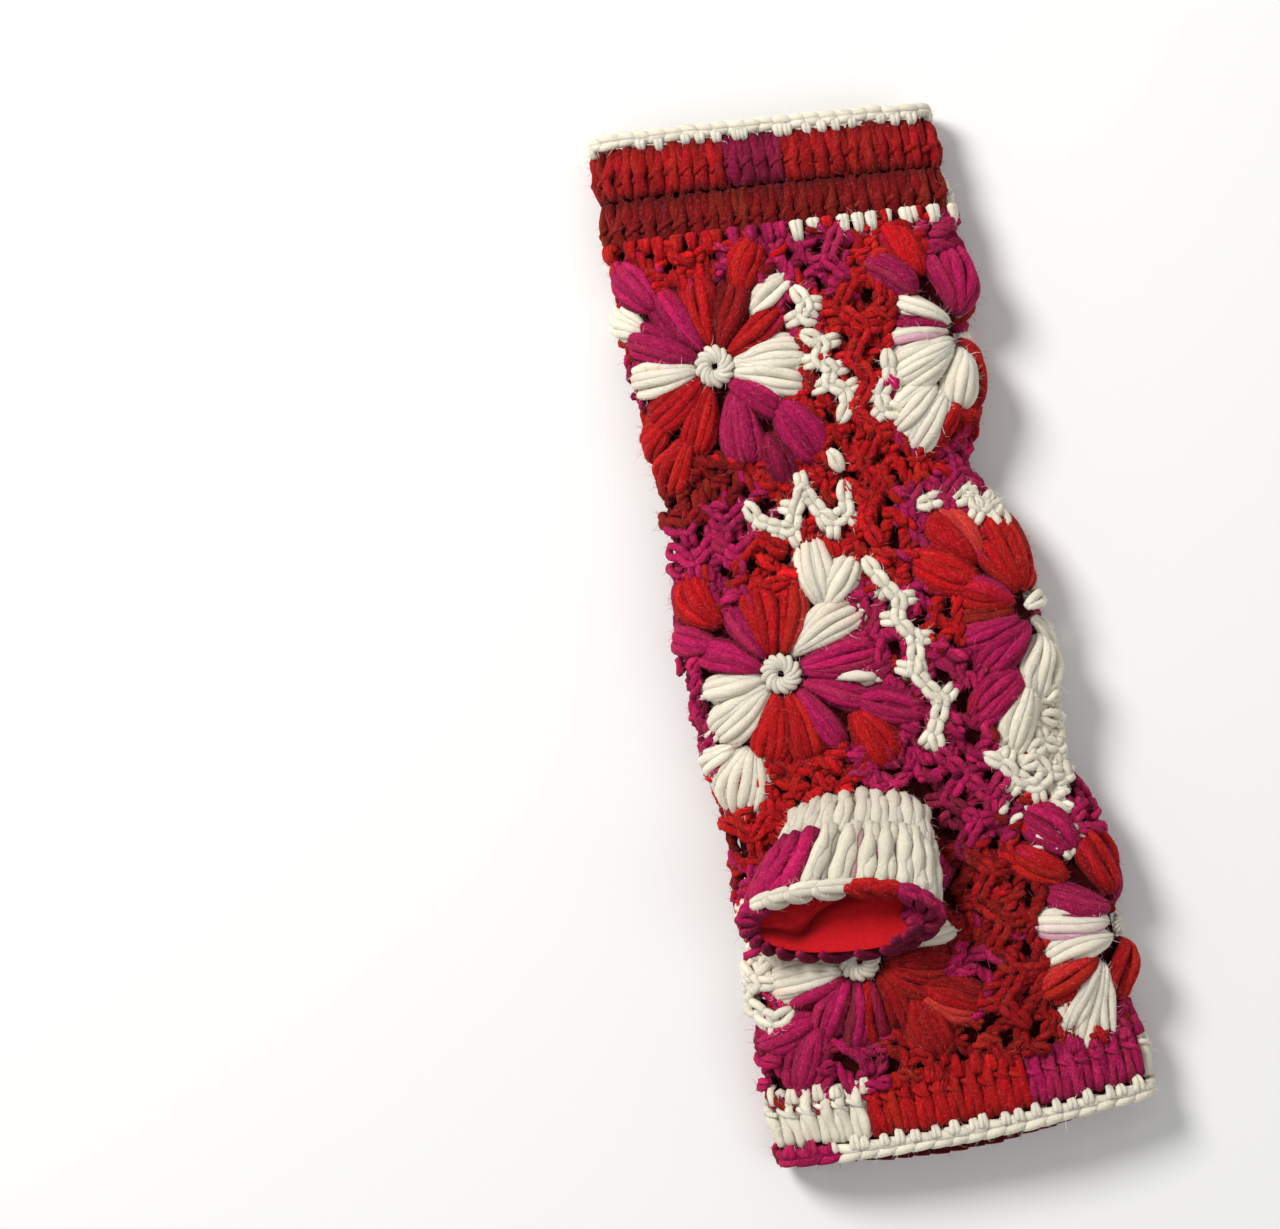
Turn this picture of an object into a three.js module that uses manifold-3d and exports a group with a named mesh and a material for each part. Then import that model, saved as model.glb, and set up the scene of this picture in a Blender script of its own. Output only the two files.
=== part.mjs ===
// Fingerless crochet glove, fleece lined, lying flat with the thumb side up.
// Millimetres, +Z up, +Y towards the arm, -Y towards the fingers, thumb on the left half of the front.
// The wall is a soft tube pressed nearly flat. Every layer of it is laid on one map: w is the share of the
// way round the tube (0 at the top, +0.25 at the right side, 0.5 underneath), y runs along it and h is the
// height outward from the inner face of the crochet.
import * as THREE from 'three';
import { mergeVertices } from 'three/addons/utils/BufferGeometryUtils.js';
import Module from 'manifold-3d';

const wasm = await Module();
wasm.setup();

// ---- driving sizes (mm) ----
const GAP = 0.3;             // air between two neighbouring pieces
const LINING = 1.6;          // fleece
const NET = 2.9;             // chain mesh between the flowers
const RIB = 3.6;             // treble rows of the cuffs
const CHAIN = 4.6;           // rolled chain edges
const PETAL_R = 24.5;        // reach of the inner petals
const CORNER_R = 35.5;       // reach of the corner puffs
const FULL_ROUND = 203;      // a flower is round where the tube measures this much round, narrower where it is less
const PETALS = 12;
const THUMB_WALL = 3.2;
const TOP_POWER = 2.7;       // fullness of the upper half of the section
const UNDER_POWER = 4.2;     // flatter underneath, where it rests
const FLAT_COLUMNS = 5;      // facets across each flat face
const SIDE_COLUMNS = 5;      // facets round each folded side
const SIDE_SHARE = 0.075;    // half of a folded side's share of the way round
const THUMB_COLUMNS = 20;

// Inner face of the crochet along the glove: its left and right limits, and its lowest and highest line.
const STATIONS = [
  { y: 140, left: -46.0, right: 38.3, under: 2.8, top: 16.6 },
  { y: 134, left: -46.2, right: 38.4, under: 2.8, top: 16.8 },
  { y: 120, left: -46.6, right: 39.4, under: 2.8, top: 17.4 },
  { y: 106, left: -47.0, right: 39.6, under: 3.9, top: 18.4 },
  { y:  88, left: -47.2, right: 41.0, under: 5.9, top: 20.0 },
  { y:  72, left: -46.6, right: 39.4, under: 6.0, top: 20.6 },
  { y:  52, left: -45.4, right: 37.8, under: 5.9, top: 20.2 },
  { y:  31, left: -45.6, right: 36.4, under: 5.4, top: 19.2 },
  { y:  14, left: -47.8, right: 40.2, under: 5.9, top: 20.4 },
  { y:  -8, left: -48.6, right: 42.6, under: 6.0, top: 20.8 },
  { y: -30, left: -47.6, right: 45.0, under: 5.9, top: 20.2 },
  { y: -48, left: -46.6, right: 46.6, under: 5.4, top: 19.8 },
  { y: -70, left: -46.4, right: 48.2, under: 5.9, top: 20.2 },
  { y: -92, left: -46.8, right: 48.4, under: 6.0, top: 20.4 },
  { y: -106, left: -48.4, right: 48.8, under: 5.6, top: 19.6 },
  { y: -122, left: -48.6, right: 48.4, under: 3.4, top: 17.8 },
  { y: -134, left: -48.2, right: 48.2, under: 2.8, top: 17.0 },
  { y: -146, left: -47.6, right: 48.0, under: 2.8, top: 16.6 },
];

// Soft dents of the whole wall: where, how wide round and along, and how deep.
const DENTS = [
  { name: 'between_flowers_high', w: 0.045, y: 60, wide: 13, long: 42, deep: 1.3 },
  { name: 'between_flowers_low', w: 0.050, y: -20, wide: 12, long: 36, deep: 1.1 },
  { name: 'right_of_thumb', w: 0.055, y: -66, wide: 12, long: 30, deep: 2.0 },
  { name: 'crossing_high', w: -0.02, y: 32, wide: 40, long: 12, deep: 1.2 },
  { name: 'crossing_low', w: 0.16, y: -49, wide: 30, long: 12, deep: 1.3 },
  { name: 'left_of_thumb', w: -0.19, y: -50, wide: 14, long: 14, deep: 1.2 },
  { name: 'above_hand_cuff', w: 0.04, y: -117, wide: 44, long: 9, deep: 0.9 },
];

// The nine flowers: place round the tube, place along it, and the turn of the motif.
const FLOWERS = [
  { name: 'flower_front_1', w: -0.117, y: 70.5, turn: 5, colour: 0xb5172f },
  { name: 'flower_front_2', w: -0.113, y: -9.5, turn: 7, colour: 0xc01a2c },
  { name: 'flower_front_3', w: -0.108, y: -89.0, turn: 3, colour: 0xb01a5c },
  { name: 'flower_side_1', w: 0.222, y: 71.5, turn: 0, colour: 0xa81d6e },
  { name: 'flower_side_2', w: 0.226, y: -7.5, turn: 4, colour: 0xb8182f },
  { name: 'flower_side_3', w: 0.236, y: -90.0, turn: -4, colour: 0xa81d6e },
  { name: 'flower_back_1', w: 0.555, y: 71.0, turn: 0, colour: 0xa81d6e },
  { name: 'flower_back_2', w: 0.556, y: -9.0, turn: 5, colour: 0xb5172f },
  { name: 'flower_back_3', w: 0.562, y: -89.5, turn: -3, colour: 0xb01a5c },
];

// Rings of a flower, from its middle out: share of the way to the petal ends and on to the outline,
// and the height on a petal's back and in the groove between two petals.
const FLOWER_RINGS = [
  { name: 'ring', petal: 0.24, out: 0.00, back: 3.8, groove: 3.4 },
  { name: 'petal_foot', petal: 0.46, out: 0.00, back: 5.8, groove: 3.9 },
  { name: 'petal_back', petal: 0.74, out: 0.00, back: 6.9, groove: 4.4 },
  { name: 'petal_end', petal: 1.00, out: 0.00, back: 4.8, groove: 4.0 },
  { name: 'corner_back', petal: 1.00, out: 0.60, back: 6.8, groove: 5.0 },
  { name: 'outline', petal: 1.00, out: 1.00, back: 4.4, groove: 4.2 },
];

// The thumb's inner crochet face: its upper line, its lower line and its left and right limits.
const THUMB = [
  { name: 'root', upY: -47.0, upZ: 15.5, lowY: -57.5, lowZ: 15.5, left: -28.0, right: 0.0 },
  { name: 'join', upY: -48.2, upZ: 23.4, lowY: -59.0, lowZ: 22.4, left: -29.0, right: 0.8 },
  { name: 'bend', upY: -51.6, upZ: 29.4, lowY: -63.4, lowZ: 26.8, left: -32.5, right: 1.0 },
  { name: 'middle', upY: -57.6, upZ: 34.2, lowY: -71.5, lowZ: 28.4, left: -38.5, right: 0.6 },
  { name: 'end', upY: -65.0, upZ: 37.8, lowY: -82.0, lowZ: 29.4, left: -45.6, right: -0.4 },
  { name: 'rim', upY: -69.0, upZ: 39.2, lowY: -86.6, lowZ: 29.8, left: -48.0, right: -1.0 },
];
const THUMB_LEAN = -0.12;    // the mouth's right corner lies nearer the fingers than its left one

// Where the bands start and end along the glove.
const WRIST = { netEnd: 107.6, cuffEnd: 132.4, edgeEnd: 137.4, slant: 0.09, slantFrom: 50 };
const HAND = { netEnd: -121.4, cuffEnd: -133.6, edgeEnd: -138.6, backHang: 4.8, bow: 3.4, hangFrom: -110 };

// The part's origin: under the middle of its box.
const ORIGIN = { x: -0.1, y: -2.74 };

// ---- the map ----
function lerpTable(table, key, column, at) {
  // cubic through the rows, which run from high to low
  let i = 0;
  while (i < table.length - 2 && at < table[i + 1][key]) i++;
  const a = table[Math.max(0, i - 1)], b = table[i], c = table[i + 1], d = table[Math.min(table.length - 1, i + 2)];
  const t = THREE.MathUtils.clamp((at - b[key]) / (c[key] - b[key]), 0, 1);
  const slope = (p, q) => (q[column] - p[column]) / ((q[key] - p[key]) || 1);
  const m1 = slope(a, c) * (c[key] - b[key]), m2 = slope(b, d) * (c[key] - b[key]);
  const t2 = t * t, t3 = t2 * t;
  return (2 * t3 - 3 * t2 + 1) * b[column] + (t3 - 2 * t2 + t) * m1 + (3 * t2 - 2 * t3) * c[column] + (t3 - t2) * m2;
}

const SAMPLES = 360;
const cache = new Map();
function section(y) {
  const key = y.toFixed(3);
  if (cache.has(key)) return cache.get(key);
  const left = lerpTable(STATIONS, 'y', 'left', y), right = lerpTable(STATIONS, 'y', 'right', y);
  const under = lerpTable(STATIONS, 'y', 'under', y), top = lerpTable(STATIONS, 'y', 'top', y);
  const cx = (left + right) / 2, cz = (under + top) / 2, a = (right - left) / 2, b = (top - under) / 2;
  const pts = [];
  for (let i = 0; i <= SAMPLES; i++) {
    const t = Math.PI / 2 - (i / SAMPLES) * 2 * Math.PI;          // from the top, clockwise to the right
    const c = Math.cos(t), s = Math.sin(t), p = s >= 0 ? TOP_POWER : UNDER_POWER;
    pts.push(new THREE.Vector2(cx + a * Math.sign(c) * Math.abs(c) ** (2 / p), cz + b * Math.sign(s) * Math.abs(s) ** (2 / p)));
  }
  const run = [0];
  for (let i = 1; i < pts.length; i++) run.push(run[i - 1] + pts[i].distanceTo(pts[i - 1]));
  const out = { pts, run, length: run[run.length - 1] };
  cache.set(key, out);
  return out;
}

function sectionPoint(s, share) {
  const at = (share - Math.floor(share)) * s.length;
  let lo = 0, hi = s.run.length - 1;
  while (hi - lo > 1) { const mid = (lo + hi) >> 1; if (s.run[mid] <= at) lo = mid; else hi = mid; }
  const f = (at - s.run[lo]) / ((s.run[hi] - s.run[lo]) || 1);
  return new THREE.Vector2().lerpVectors(s.pts[lo], s.pts[hi], f);
}

function dent(w, y, length) {
  let d = 0;
  for (const k of DENTS) {
    let dw = w - k.w;
    dw -= Math.round(dw);
    d += k.deep * Math.exp(-((dw * length / k.wide) ** 2) - ((y - k.y) / k.long) ** 2);
  }
  return d;
}

function hang(w, x, y) {
  // the back half of the hem reaches a little past the front half, and the middle of both past the sides
  const back = 0.5 - 0.5 * Math.cos(2 * Math.PI * w), bow = Math.max(0, 1 - (x / 50) ** 2);
  return -(HAND.backHang * back ** 1.5 + HAND.bow * bow) * THREE.MathUtils.smoothstep(HAND.hangFrom - y, 0, 22);
}

function slant(x, y) {
  // the arm end was laid a little askew: its left side reaches further than its right
  return -WRIST.slant * (x + 3.8) * THREE.MathUtils.smoothstep(y, WRIST.slantFrom, WRIST.cuffEnd);
}

function place(w, y, h) {
  const s = section(y), e = 0.004;
  const p = sectionPoint(s, w), q = sectionPoint(s, w + e), r = sectionPoint(s, w - e);
  const n = new THREE.Vector2(-(q.y - r.y), q.x - r.x).normalize();
  const out = h - dent(w, y, s.length);
  return new THREE.Vector3(p.x + n.x * out, y + hang(w, p.x, y) + slant(p.x, y), p.y + n.y * out);
}

// ---- closed meshes from grids ----
function solidFromGrid(outer, inner) {
  // outer and inner are rows of rings of points: a tube wall, closed at both ends
  const rows = outer.length, cols = outer[0].length, pos = [], idx = [];
  for (const layer of [outer, inner]) for (const ring of layer) for (const p of ring) pos.push(p.x, p.y, p.z);
  const id = (layer, j, i) => layer * rows * cols + j * cols + ((i + cols) % cols);
  const quad = (a, b, c, d) => idx.push(a, b, c, a, c, d);
  for (let j = 0; j < rows - 1; j++) for (let i = 0; i < cols; i++) {
    quad(id(0, j, i), id(0, j, i + 1), id(0, j + 1, i + 1), id(0, j + 1, i));
    quad(id(1, j, i), id(1, j + 1, i), id(1, j + 1, i + 1), id(1, j, i + 1));
  }
  for (let i = 0; i < cols; i++) {
    quad(id(0, 0, i), id(1, 0, i), id(1, 0, i + 1), id(0, 0, i + 1));
    quad(id(0, rows - 1, i), id(0, rows - 1, i + 1), id(1, rows - 1, i + 1), id(1, rows - 1, i));
  }
  return toGeometry(pos, idx);
}

function solidFromRings(rings) {
  // a filled stack of rings, with a fan at each end
  const rows = rings.length, cols = rings[0].length, pos = [], idx = [];
  for (const ring of rings) for (const p of ring) pos.push(p.x, p.y, p.z);
  for (const ring of [rings[0], rings[rows - 1]]) {
    const c = new THREE.Vector3();
    ring.forEach((p) => c.add(p));
    c.divideScalar(cols);
    pos.push(c.x, c.y, c.z);
  }
  const id = (j, i) => j * cols + ((i + cols) % cols);
  for (let j = 0; j < rows - 1; j++) for (let i = 0; i < cols; i++) {
    idx.push(id(j, i), id(j, i + 1), id(j + 1, i + 1), id(j, i), id(j + 1, i + 1), id(j + 1, i));
  }
  for (let i = 0; i < cols; i++) {
    idx.push(rows * cols, id(0, i + 1), id(0, i));
    idx.push(rows * cols + 1, id(rows - 1, i), id(rows - 1, i + 1));
  }
  return toGeometry(pos, idx);
}

function toGeometry(pos, idx) {
  const g = new THREE.BufferGeometry();
  g.setAttribute('position', new THREE.Float32BufferAttribute(pos, 3));
  g.setIndex(idx);
  let v = 0;
  const p = (k) => new THREE.Vector3().fromBufferAttribute(g.attributes.position, idx[k]);
  for (let k = 0; k < idx.length; k += 3) v += p(k).dot(p(k + 1).clone().cross(p(k + 2)));
  if (v < 0) for (let k = 0; k < idx.length; k += 3) [idx[k + 1], idx[k + 2]] = [idx[k + 2], idx[k + 1]];
  g.setIndex(idx);
  return g;
}

function toManifold(geometry) {
  const g = geometry.clone();
  g.deleteAttribute('normal');
  g.deleteAttribute('uv');
  const m = mergeVertices(g, 1e-4);
  return new wasm.Manifold(new wasm.Mesh({
    numProp: 3,
    vertProperties: new Float32Array(m.attributes.position.array),
    triVerts: new Uint32Array(m.index.array),
  }));
}

function fromManifold(m) {
  const mesh = m.getMesh();
  const g = new THREE.BufferGeometry();
  const pos = [];
  for (let i = 0; i < mesh.vertProperties.length; i += mesh.numProp) {
    pos.push(mesh.vertProperties[i], mesh.vertProperties[i + 1], mesh.vertProperties[i + 2]);
  }
  g.setAttribute('position', new THREE.Float32BufferAttribute(pos, 3));
  g.setIndex(Array.from(mesh.triVerts));
  return weld(g);
}

function weld(g, size = 0.02) {
  // joins the corners that a cut leaves closer than a hair, and drops the triangles that vanish with it
  const p = g.attributes.position, seen = new Map(), map = [], pos = [];
  for (let i = 0; i < p.count; i++) {
    const k = [p.getX(i), p.getY(i), p.getZ(i)].map((c) => Math.round(c / size)).join();
    if (!seen.has(k)) { seen.set(k, pos.length / 3); pos.push(p.getX(i), p.getY(i), p.getZ(i)); }
    map.push(seen.get(k));
  }
  const idx = [], s = g.index.array;
  for (let k = 0; k < s.length; k += 3) {
    const [a, b, c] = [map[s[k]], map[s[k + 1]], map[s[k + 2]]];
    if (a !== b && b !== c && c !== a) idx.push(a, b, c);
  }
  const out = new THREE.BufferGeometry();
  out.setAttribute('position', new THREE.Float32BufferAttribute(pos, 3));
  out.setIndex(idx);
  return out;
}

const steps = (from, to, count) => Array.from({ length: count + 1 }, (_, k) => from + ((to - from) * k) / count);

// ---- layers round the body ----
function columnShares() {
  const out = [];
  const side = (mid) => out.push(...steps(mid - SIDE_SHARE, mid + SIDE_SHARE, SIDE_COLUMNS));
  const flat = (mid) => out.push(...steps(mid - 0.25 + SIDE_SHARE, mid + 0.25 - SIDE_SHARE, FLAT_COLUMNS).slice(1, -1));
  flat(0);
  side(0.25);
  flat(0.5);
  side(0.75);
  return out;
}
const SHARES = columnShares();

function bodyRing(y, h) {
  return SHARES.map((w) => place(w, y, h));
}

function bodyShell(rows) {
  // rows: y, inner height, outer height
  return solidFromGrid(rows.map((r) => bodyRing(r.y, r.outer)), rows.map((r) => bodyRing(r.y, r.inner)));
}

// rows of the map at which all the body layers are cut, so that their facets run parallel
const ROWS = [107.6, 88, 60, 31, 10, -15, -48, -72, -104, -121.4];

const liningRows = [WRIST.cuffEnd - 2.5, ...ROWS, HAND.edgeEnd + 2];
const lining = bodyShell(liningRows.map((y) => ({ y, inner: -LINING, outer: 0 })));
const net = bodyShell(ROWS.map((y, i) => ({
  y: i === 0 ? y - GAP : i === ROWS.length - 1 ? y + GAP : y, inner: GAP, outer: NET,
})));

const cuffWrist = bodyShell([
  { y: WRIST.netEnd, inner: GAP, outer: RIB - 1.1 },
  { y: 114, inner: GAP, outer: RIB },
  { y: 120.2, inner: GAP, outer: RIB - 0.7 },
  { y: 126.6, inner: GAP, outer: RIB },
  { y: WRIST.cuffEnd - GAP, inner: GAP, outer: RIB - 0.9 },
]);
const edgeWrist = bodyShell([
  { y: WRIST.cuffEnd, inner: GAP, outer: CHAIN - 1.2 },
  { y: 135, inner: -0.7, outer: CHAIN },
  { y: WRIST.edgeEnd, inner: 0.3, outer: CHAIN - 1.3 },
]);
const cuffHand = bodyShell([
  { y: HAND.netEnd, inner: GAP, outer: RIB - 1.1 },
  { y: -127.4, inner: GAP, outer: RIB },
  { y: HAND.cuffEnd + GAP, inner: GAP, outer: RIB - 0.9 },
]);
const edgeHand = bodyShell([
  { y: HAND.cuffEnd, inner: GAP, outer: CHAIN - 1.2 },
  { y: -136.1, inner: GAP, outer: CHAIN },
  { y: HAND.edgeEnd, inner: 0.4, outer: CHAIN - 1.3 },
]);

// everything inside the crochet, used to seat the flowers and the thumb on the lining
const ENVELOPE_ROWS = [150, ...ROWS, -150];
const inside = toManifold(solidFromRings(ENVELOPE_ROWS.map((y) => bodyRing(y, GAP))));

// ---- flowers ----
function flowerAngles(turn) {
  // petal backs and grooves in turn; at each of the four corners a groove parts two longer puffs
  const list = [];
  for (let k = 0; k < PETALS * 2; k++) {
    const a = turn + (k * 180) / PETALS, fromCorner = Math.abs((((k * 180) / PETALS) % 90) - 45);
    const reach = fromCorner < 1 ? 0.90 : fromCorner < 16 ? 1 : 0.12;
    // the corner puffs lean together, so their outer ends stand closer than the petals they grow from
    const lean = (((k * 180) / PETALS) % 90) - 45;
    list.push({ a, far: fromCorner < 31 ? a - lean * 0.36 : a, back: k % 2 === 0 ? 1 : 0, reach });
  }
  return list;
}

function flowerSolid(f, grow, lift = 0) {
  // grow widens the outline, lift raises the whole top
  const angles = flowerAngles(f.turn);
  const at = (r, a, h) => {
    const rad = (a * Math.PI) / 180;
    return place(f.w + (r * Math.cos(rad)) / FULL_ROUND, f.y + r * Math.sin(rad), h);
  };
  const ringOf = (ring, up) => angles.map((item) => {
    const edge = PETAL_R + (CORNER_R - PETAL_R) * item.reach;
    const r = PETAL_R * ring.petal + (edge - PETAL_R) * ring.out;
    const h = THREE.MathUtils.lerp(ring.groove, ring.back, item.back) - (ring.out > 0 && item.reach < 0.3 ? 0.9 : 0);
    return at(r + (ring.name === 'outline' ? grow : 0), ring.out > 0 ? item.far : item.a, h + up);
  });
  const rings = FLOWER_RINGS.map((ring) => ringOf(ring, lift));
  if (lift > 0) rings.push(ringOf(FLOWER_RINGS[FLOWER_RINGS.length - 1], 0));
  const foot = angles.map((item) => at(PETAL_R + (CORNER_R - PETAL_R) * item.reach + grow, item.far, -1.2));
  return toManifold(solidFromRings([foot, ...rings.reverse()]));
}

// ---- thumb ----
function thumbGrid(count) {
  // centre line rows of the thumb's inner crochet face, s from 0 (root) to 5 (rim)
  const rows = THUMB.map((r, i) => ({ ...r, s: -i }));
  return (s) => {
    const v = (c) => lerpTable(rows, 's', c, -s);
    const up = new THREE.Vector3(0, v('upY'), v('upZ')), low = new THREE.Vector3(0, v('lowY'), v('lowZ'));
    const mid = up.clone().add(low).multiplyScalar(0.5), d = up.clone().sub(low).multiplyScalar(0.5);
    const cx = (v('left') + v('right')) / 2, a = (v('right') - v('left')) / 2;
    return steps(0, 1, count).slice(0, count).map((k) => {
      const t = 2 * Math.PI * k, c = Math.cos(t), q = Math.sin(t), p = 2.25;
      const x = a * Math.sign(c) * Math.abs(c) ** (2 / p), e = Math.sign(q) * Math.abs(q) ** (2 / p);
      return new THREE.Vector3(cx + x, mid.y + d.y * e + THUMB_LEAN * x, mid.z + d.z * e);
    });
  };
}

function thumbRows(list) {
  // list: s and height outward; the height runs along the true normal of the tube
  const ring = thumbGrid(THUMB_COLUMNS), e = 0.06;
  return list.map(({ s, h }) => {
    const base = ring(s), ahead = ring(Math.min(5, s + e)), behind = ring(Math.max(0, s - e));
    return base.map((p, i) => {
      const along = ahead[i].clone().sub(behind[i]);
      const round = base[(i + 1) % base.length].clone().sub(base[(i - 1 + base.length) % base.length]);
      const n = along.cross(round).normalize();
      const away = p.clone().sub(base.reduce((acc, b) => acc.add(b), new THREE.Vector3()).divideScalar(base.length));
      if (n.dot(away) < 0) n.negate();
      return p.clone().addScaledVector(n, h);
    });
  });
}

const THUMB_S = [0, 0.9, 1.4, 2.1, 3, 4];
const half = GAP / 2;
const thumbShell = toManifold(solidFromGrid(
  thumbRows(THUMB_S.map((s) => ({ s, h: THUMB_WALL }))), thumbRows(THUMB_S.map((s) => ({ s, h: half })))));
const thumbLining = solidFromGrid(
  thumbRows([0.25, 0.9, 1.4, 2.1, 3, 4, 4.4].map((s) => ({ s, h: -half }))),
  thumbRows([0.25, 0.9, 1.4, 2.1, 3, 4, 4.4].map((s) => ({ s, h: -half - LINING }))));
const edgeThumb = solidFromGrid(
  thumbRows([{ s: 4.09, h: THUMB_WALL - 0.2 }, { s: 4.5, h: THUMB_WALL + 0.7 }, { s: 5, h: THUMB_WALL - 0.4 }]),
  thumbRows([{ s: 4.09, h: half }, { s: 4.5, h: half }, { s: 5, h: 0.4 }]));
const thumbFilled = toManifold(solidFromRings(thumbRows([0, 0.9, 1.4, 2.1, 3, 4, 4.5, 5]
  .map((s) => ({ s, h: THUMB_WALL + GAP + (s > 4.1 && s < 4.9 ? 0.9 : 0.05) })))));
const thumbHole = toManifold(solidFromRings(thumbRows([0, 0.9, 1.4, 2.1].map((s) => ({ s, h: half })))));

// ---- cut and seat ----
const box = new THREE.BoxGeometry(400, 500, 40);
box.translate(0, 0, -20);
const floor = toManifold(box);

const pieces = [];
function piece(name, geometry, colour, roughness = 0.92) {
  geometry.computeVertexNormals();
  const mesh = new THREE.Mesh(geometry, new THREE.MeshStandardMaterial({ color: colour, roughness, metalness: 0 }));
  mesh.name = name;
  pieces.push(mesh);
}

piece('lining', fromManifold(toManifold(lining).subtract(thumbHole)), 0xc4161f, 0.96);
piece('lining_thumb', thumbLining, 0xc4161f, 0.96);

let netSolid = toManifold(net);
for (const f of FLOWERS) {
  netSolid = netSolid.subtract(flowerSolid(f, 2 * GAP, 9));
}
netSolid = netSolid.subtract(thumbFilled).subtract(floor);
piece('net_body', fromManifold(netSolid), 0x9c1440);

for (const f of FLOWERS) {
  let solid = flowerSolid(f, 0).subtract(inside).subtract(floor);
  if (f.name === 'flower_front_2' || f.name === 'flower_front_3') solid = solid.subtract(thumbFilled);
  piece(f.name, fromManifold(solid), f.colour);
}

piece('cuff_wrist', fromManifold(toManifold(cuffWrist).subtract(floor)), 0xb01428);
piece('edge_wrist', fromManifold(toManifold(edgeWrist).subtract(floor)), 0xe9e2d0);
piece('cuff_hand', fromManifold(toManifold(cuffHand).subtract(floor)), 0xb81830);
piece('edge_hand', fromManifold(toManifold(edgeHand).subtract(floor)), 0xe9e2d0);
piece('thumb', fromManifold(thumbShell.subtract(inside)), 0xe9e2d0);
piece('edge_thumb', edgeThumb, 0xa81d6e);

const glove = new THREE.Group();
glove.position.set(-ORIGIN.x, -ORIGIN.y, 0);
for (const mesh of pieces) glove.add(mesh);
const group = new THREE.Group();
group.add(glove);

export default group;
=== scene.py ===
"""Looks of the crochet fingerless glove: puffs of loose wool strands, chain mesh, treble rows, chain edges, fleece and loose hairs.

Every yarn is a tube laid on the same map as the CAD part: u runs round the glove (u = 203 * w), v along it and h outward
from the inner face of the crochet, in millimetres.
"""

import math

import bpy
import numpy as np
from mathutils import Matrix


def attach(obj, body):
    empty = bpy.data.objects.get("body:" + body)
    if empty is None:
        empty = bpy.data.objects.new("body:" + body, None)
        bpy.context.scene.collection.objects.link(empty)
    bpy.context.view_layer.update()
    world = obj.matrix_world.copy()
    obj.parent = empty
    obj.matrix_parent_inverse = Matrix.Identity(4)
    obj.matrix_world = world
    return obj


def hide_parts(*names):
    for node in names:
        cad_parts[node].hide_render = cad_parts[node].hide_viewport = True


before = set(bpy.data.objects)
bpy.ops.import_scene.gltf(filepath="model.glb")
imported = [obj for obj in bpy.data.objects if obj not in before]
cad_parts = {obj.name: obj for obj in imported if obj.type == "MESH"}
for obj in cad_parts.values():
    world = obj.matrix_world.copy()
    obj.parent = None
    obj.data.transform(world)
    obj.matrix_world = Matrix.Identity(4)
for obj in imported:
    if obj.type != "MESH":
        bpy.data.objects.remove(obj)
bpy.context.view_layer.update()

MM = 0.001
ROUND = 203.0
rng = np.random.default_rng(11)

# ------------------------------------------------------------------ the map of the CAD part
STATIONS = np.array([  # y, left, right, under, top
    (140, -46.0, 38.3, 2.8, 16.6), (134, -46.2, 38.4, 2.8, 16.8), (120, -46.6, 39.4, 2.8, 17.4),
    (106, -47.0, 39.6, 3.9, 18.4), (88, -47.2, 41.0, 5.9, 20.0), (72, -46.6, 39.4, 6.0, 20.6),
    (52, -45.4, 37.8, 5.9, 20.2), (31, -45.6, 36.4, 5.4, 19.2), (14, -47.8, 40.2, 5.9, 20.4),
    (-8, -48.6, 42.6, 6.0, 20.8), (-30, -47.6, 45.0, 5.9, 20.2), (-48, -46.6, 46.6, 5.4, 19.8),
    (-70, -46.4, 48.2, 5.9, 20.2), (-92, -46.8, 48.4, 6.0, 20.4), (-106, -48.4, 48.8, 5.6, 19.6),
    (-122, -48.6, 48.4, 3.4, 17.8), (-134, -48.2, 48.2, 2.8, 17.0), (-146, -47.6, 48.0, 2.8, 16.6)])
DENTS = [  # w, y, wide, long, deep
    (0.045, 60, 13, 42, 1.3), (0.050, -20, 12, 36, 1.1), (0.055, -66, 12, 30, 2.0), (-0.02, 32, 40, 12, 1.2),
    (0.16, -49, 30, 12, 1.3), (-0.19, -50, 14, 14, 1.2), (0.04, -117, 44, 9, 0.9),
    (0.250, 35, 15, 11, 5.4), (0.250, 72, 12, 8, 2.8), (0.252, -42, 15, 12, 5.6), (0.246, -113, 13, 8, 2.6)]   # the last four: the side draws in between the flowers
THUMB = np.array([  # -s, upY, upZ, lowY, lowZ, left, right
    (0, -47.0, 15.5, -57.5, 15.5, -28.0, 0.0), (-1, -48.2, 23.4, -59.0, 22.4, -29.0, 0.8),
    (-2, -51.6, 29.4, -63.4, 26.8, -32.5, 1.0), (-3, -57.6, 34.2, -71.5, 28.4, -38.5, 0.6),
    (-4, -65.0, 37.8, -82.0, 29.4, -45.6, -0.4), (-5, -69.0, 39.2, -86.6, 29.8, -48.0, -1.0)])
THUMB_LEAN = -0.12
THUMB_ROUND = 100.0
ORIGIN = np.array([-0.1, -2.74, 0.0])


def hermite(table, column, at):
    keys, col = table[:, 0], table[:, column]
    at = np.asarray(at, float)
    n = len(keys)
    i = np.clip(np.searchsorted(-keys, -at, side="left") - 1, 0, n - 2)
    a, d = np.maximum(i - 1, 0), np.minimum(i + 2, n - 1)
    t = np.clip((at - keys[i]) / (keys[i + 1] - keys[i]), 0, 1)
    step = keys[i + 1] - keys[i]
    m1 = (col[i + 1] - col[a]) / (keys[i + 1] - keys[a]) * step
    m2 = (col[d] - col[i]) / (keys[d] - keys[i]) * step
    t2, t3 = t * t, t * t * t
    return (2 * t3 - 3 * t2 + 1) * col[i] + (t3 - 2 * t2 + t) * m1 + (3 * t2 - 2 * t3) * col[i + 1] + (t3 - t2) * m2


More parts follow.
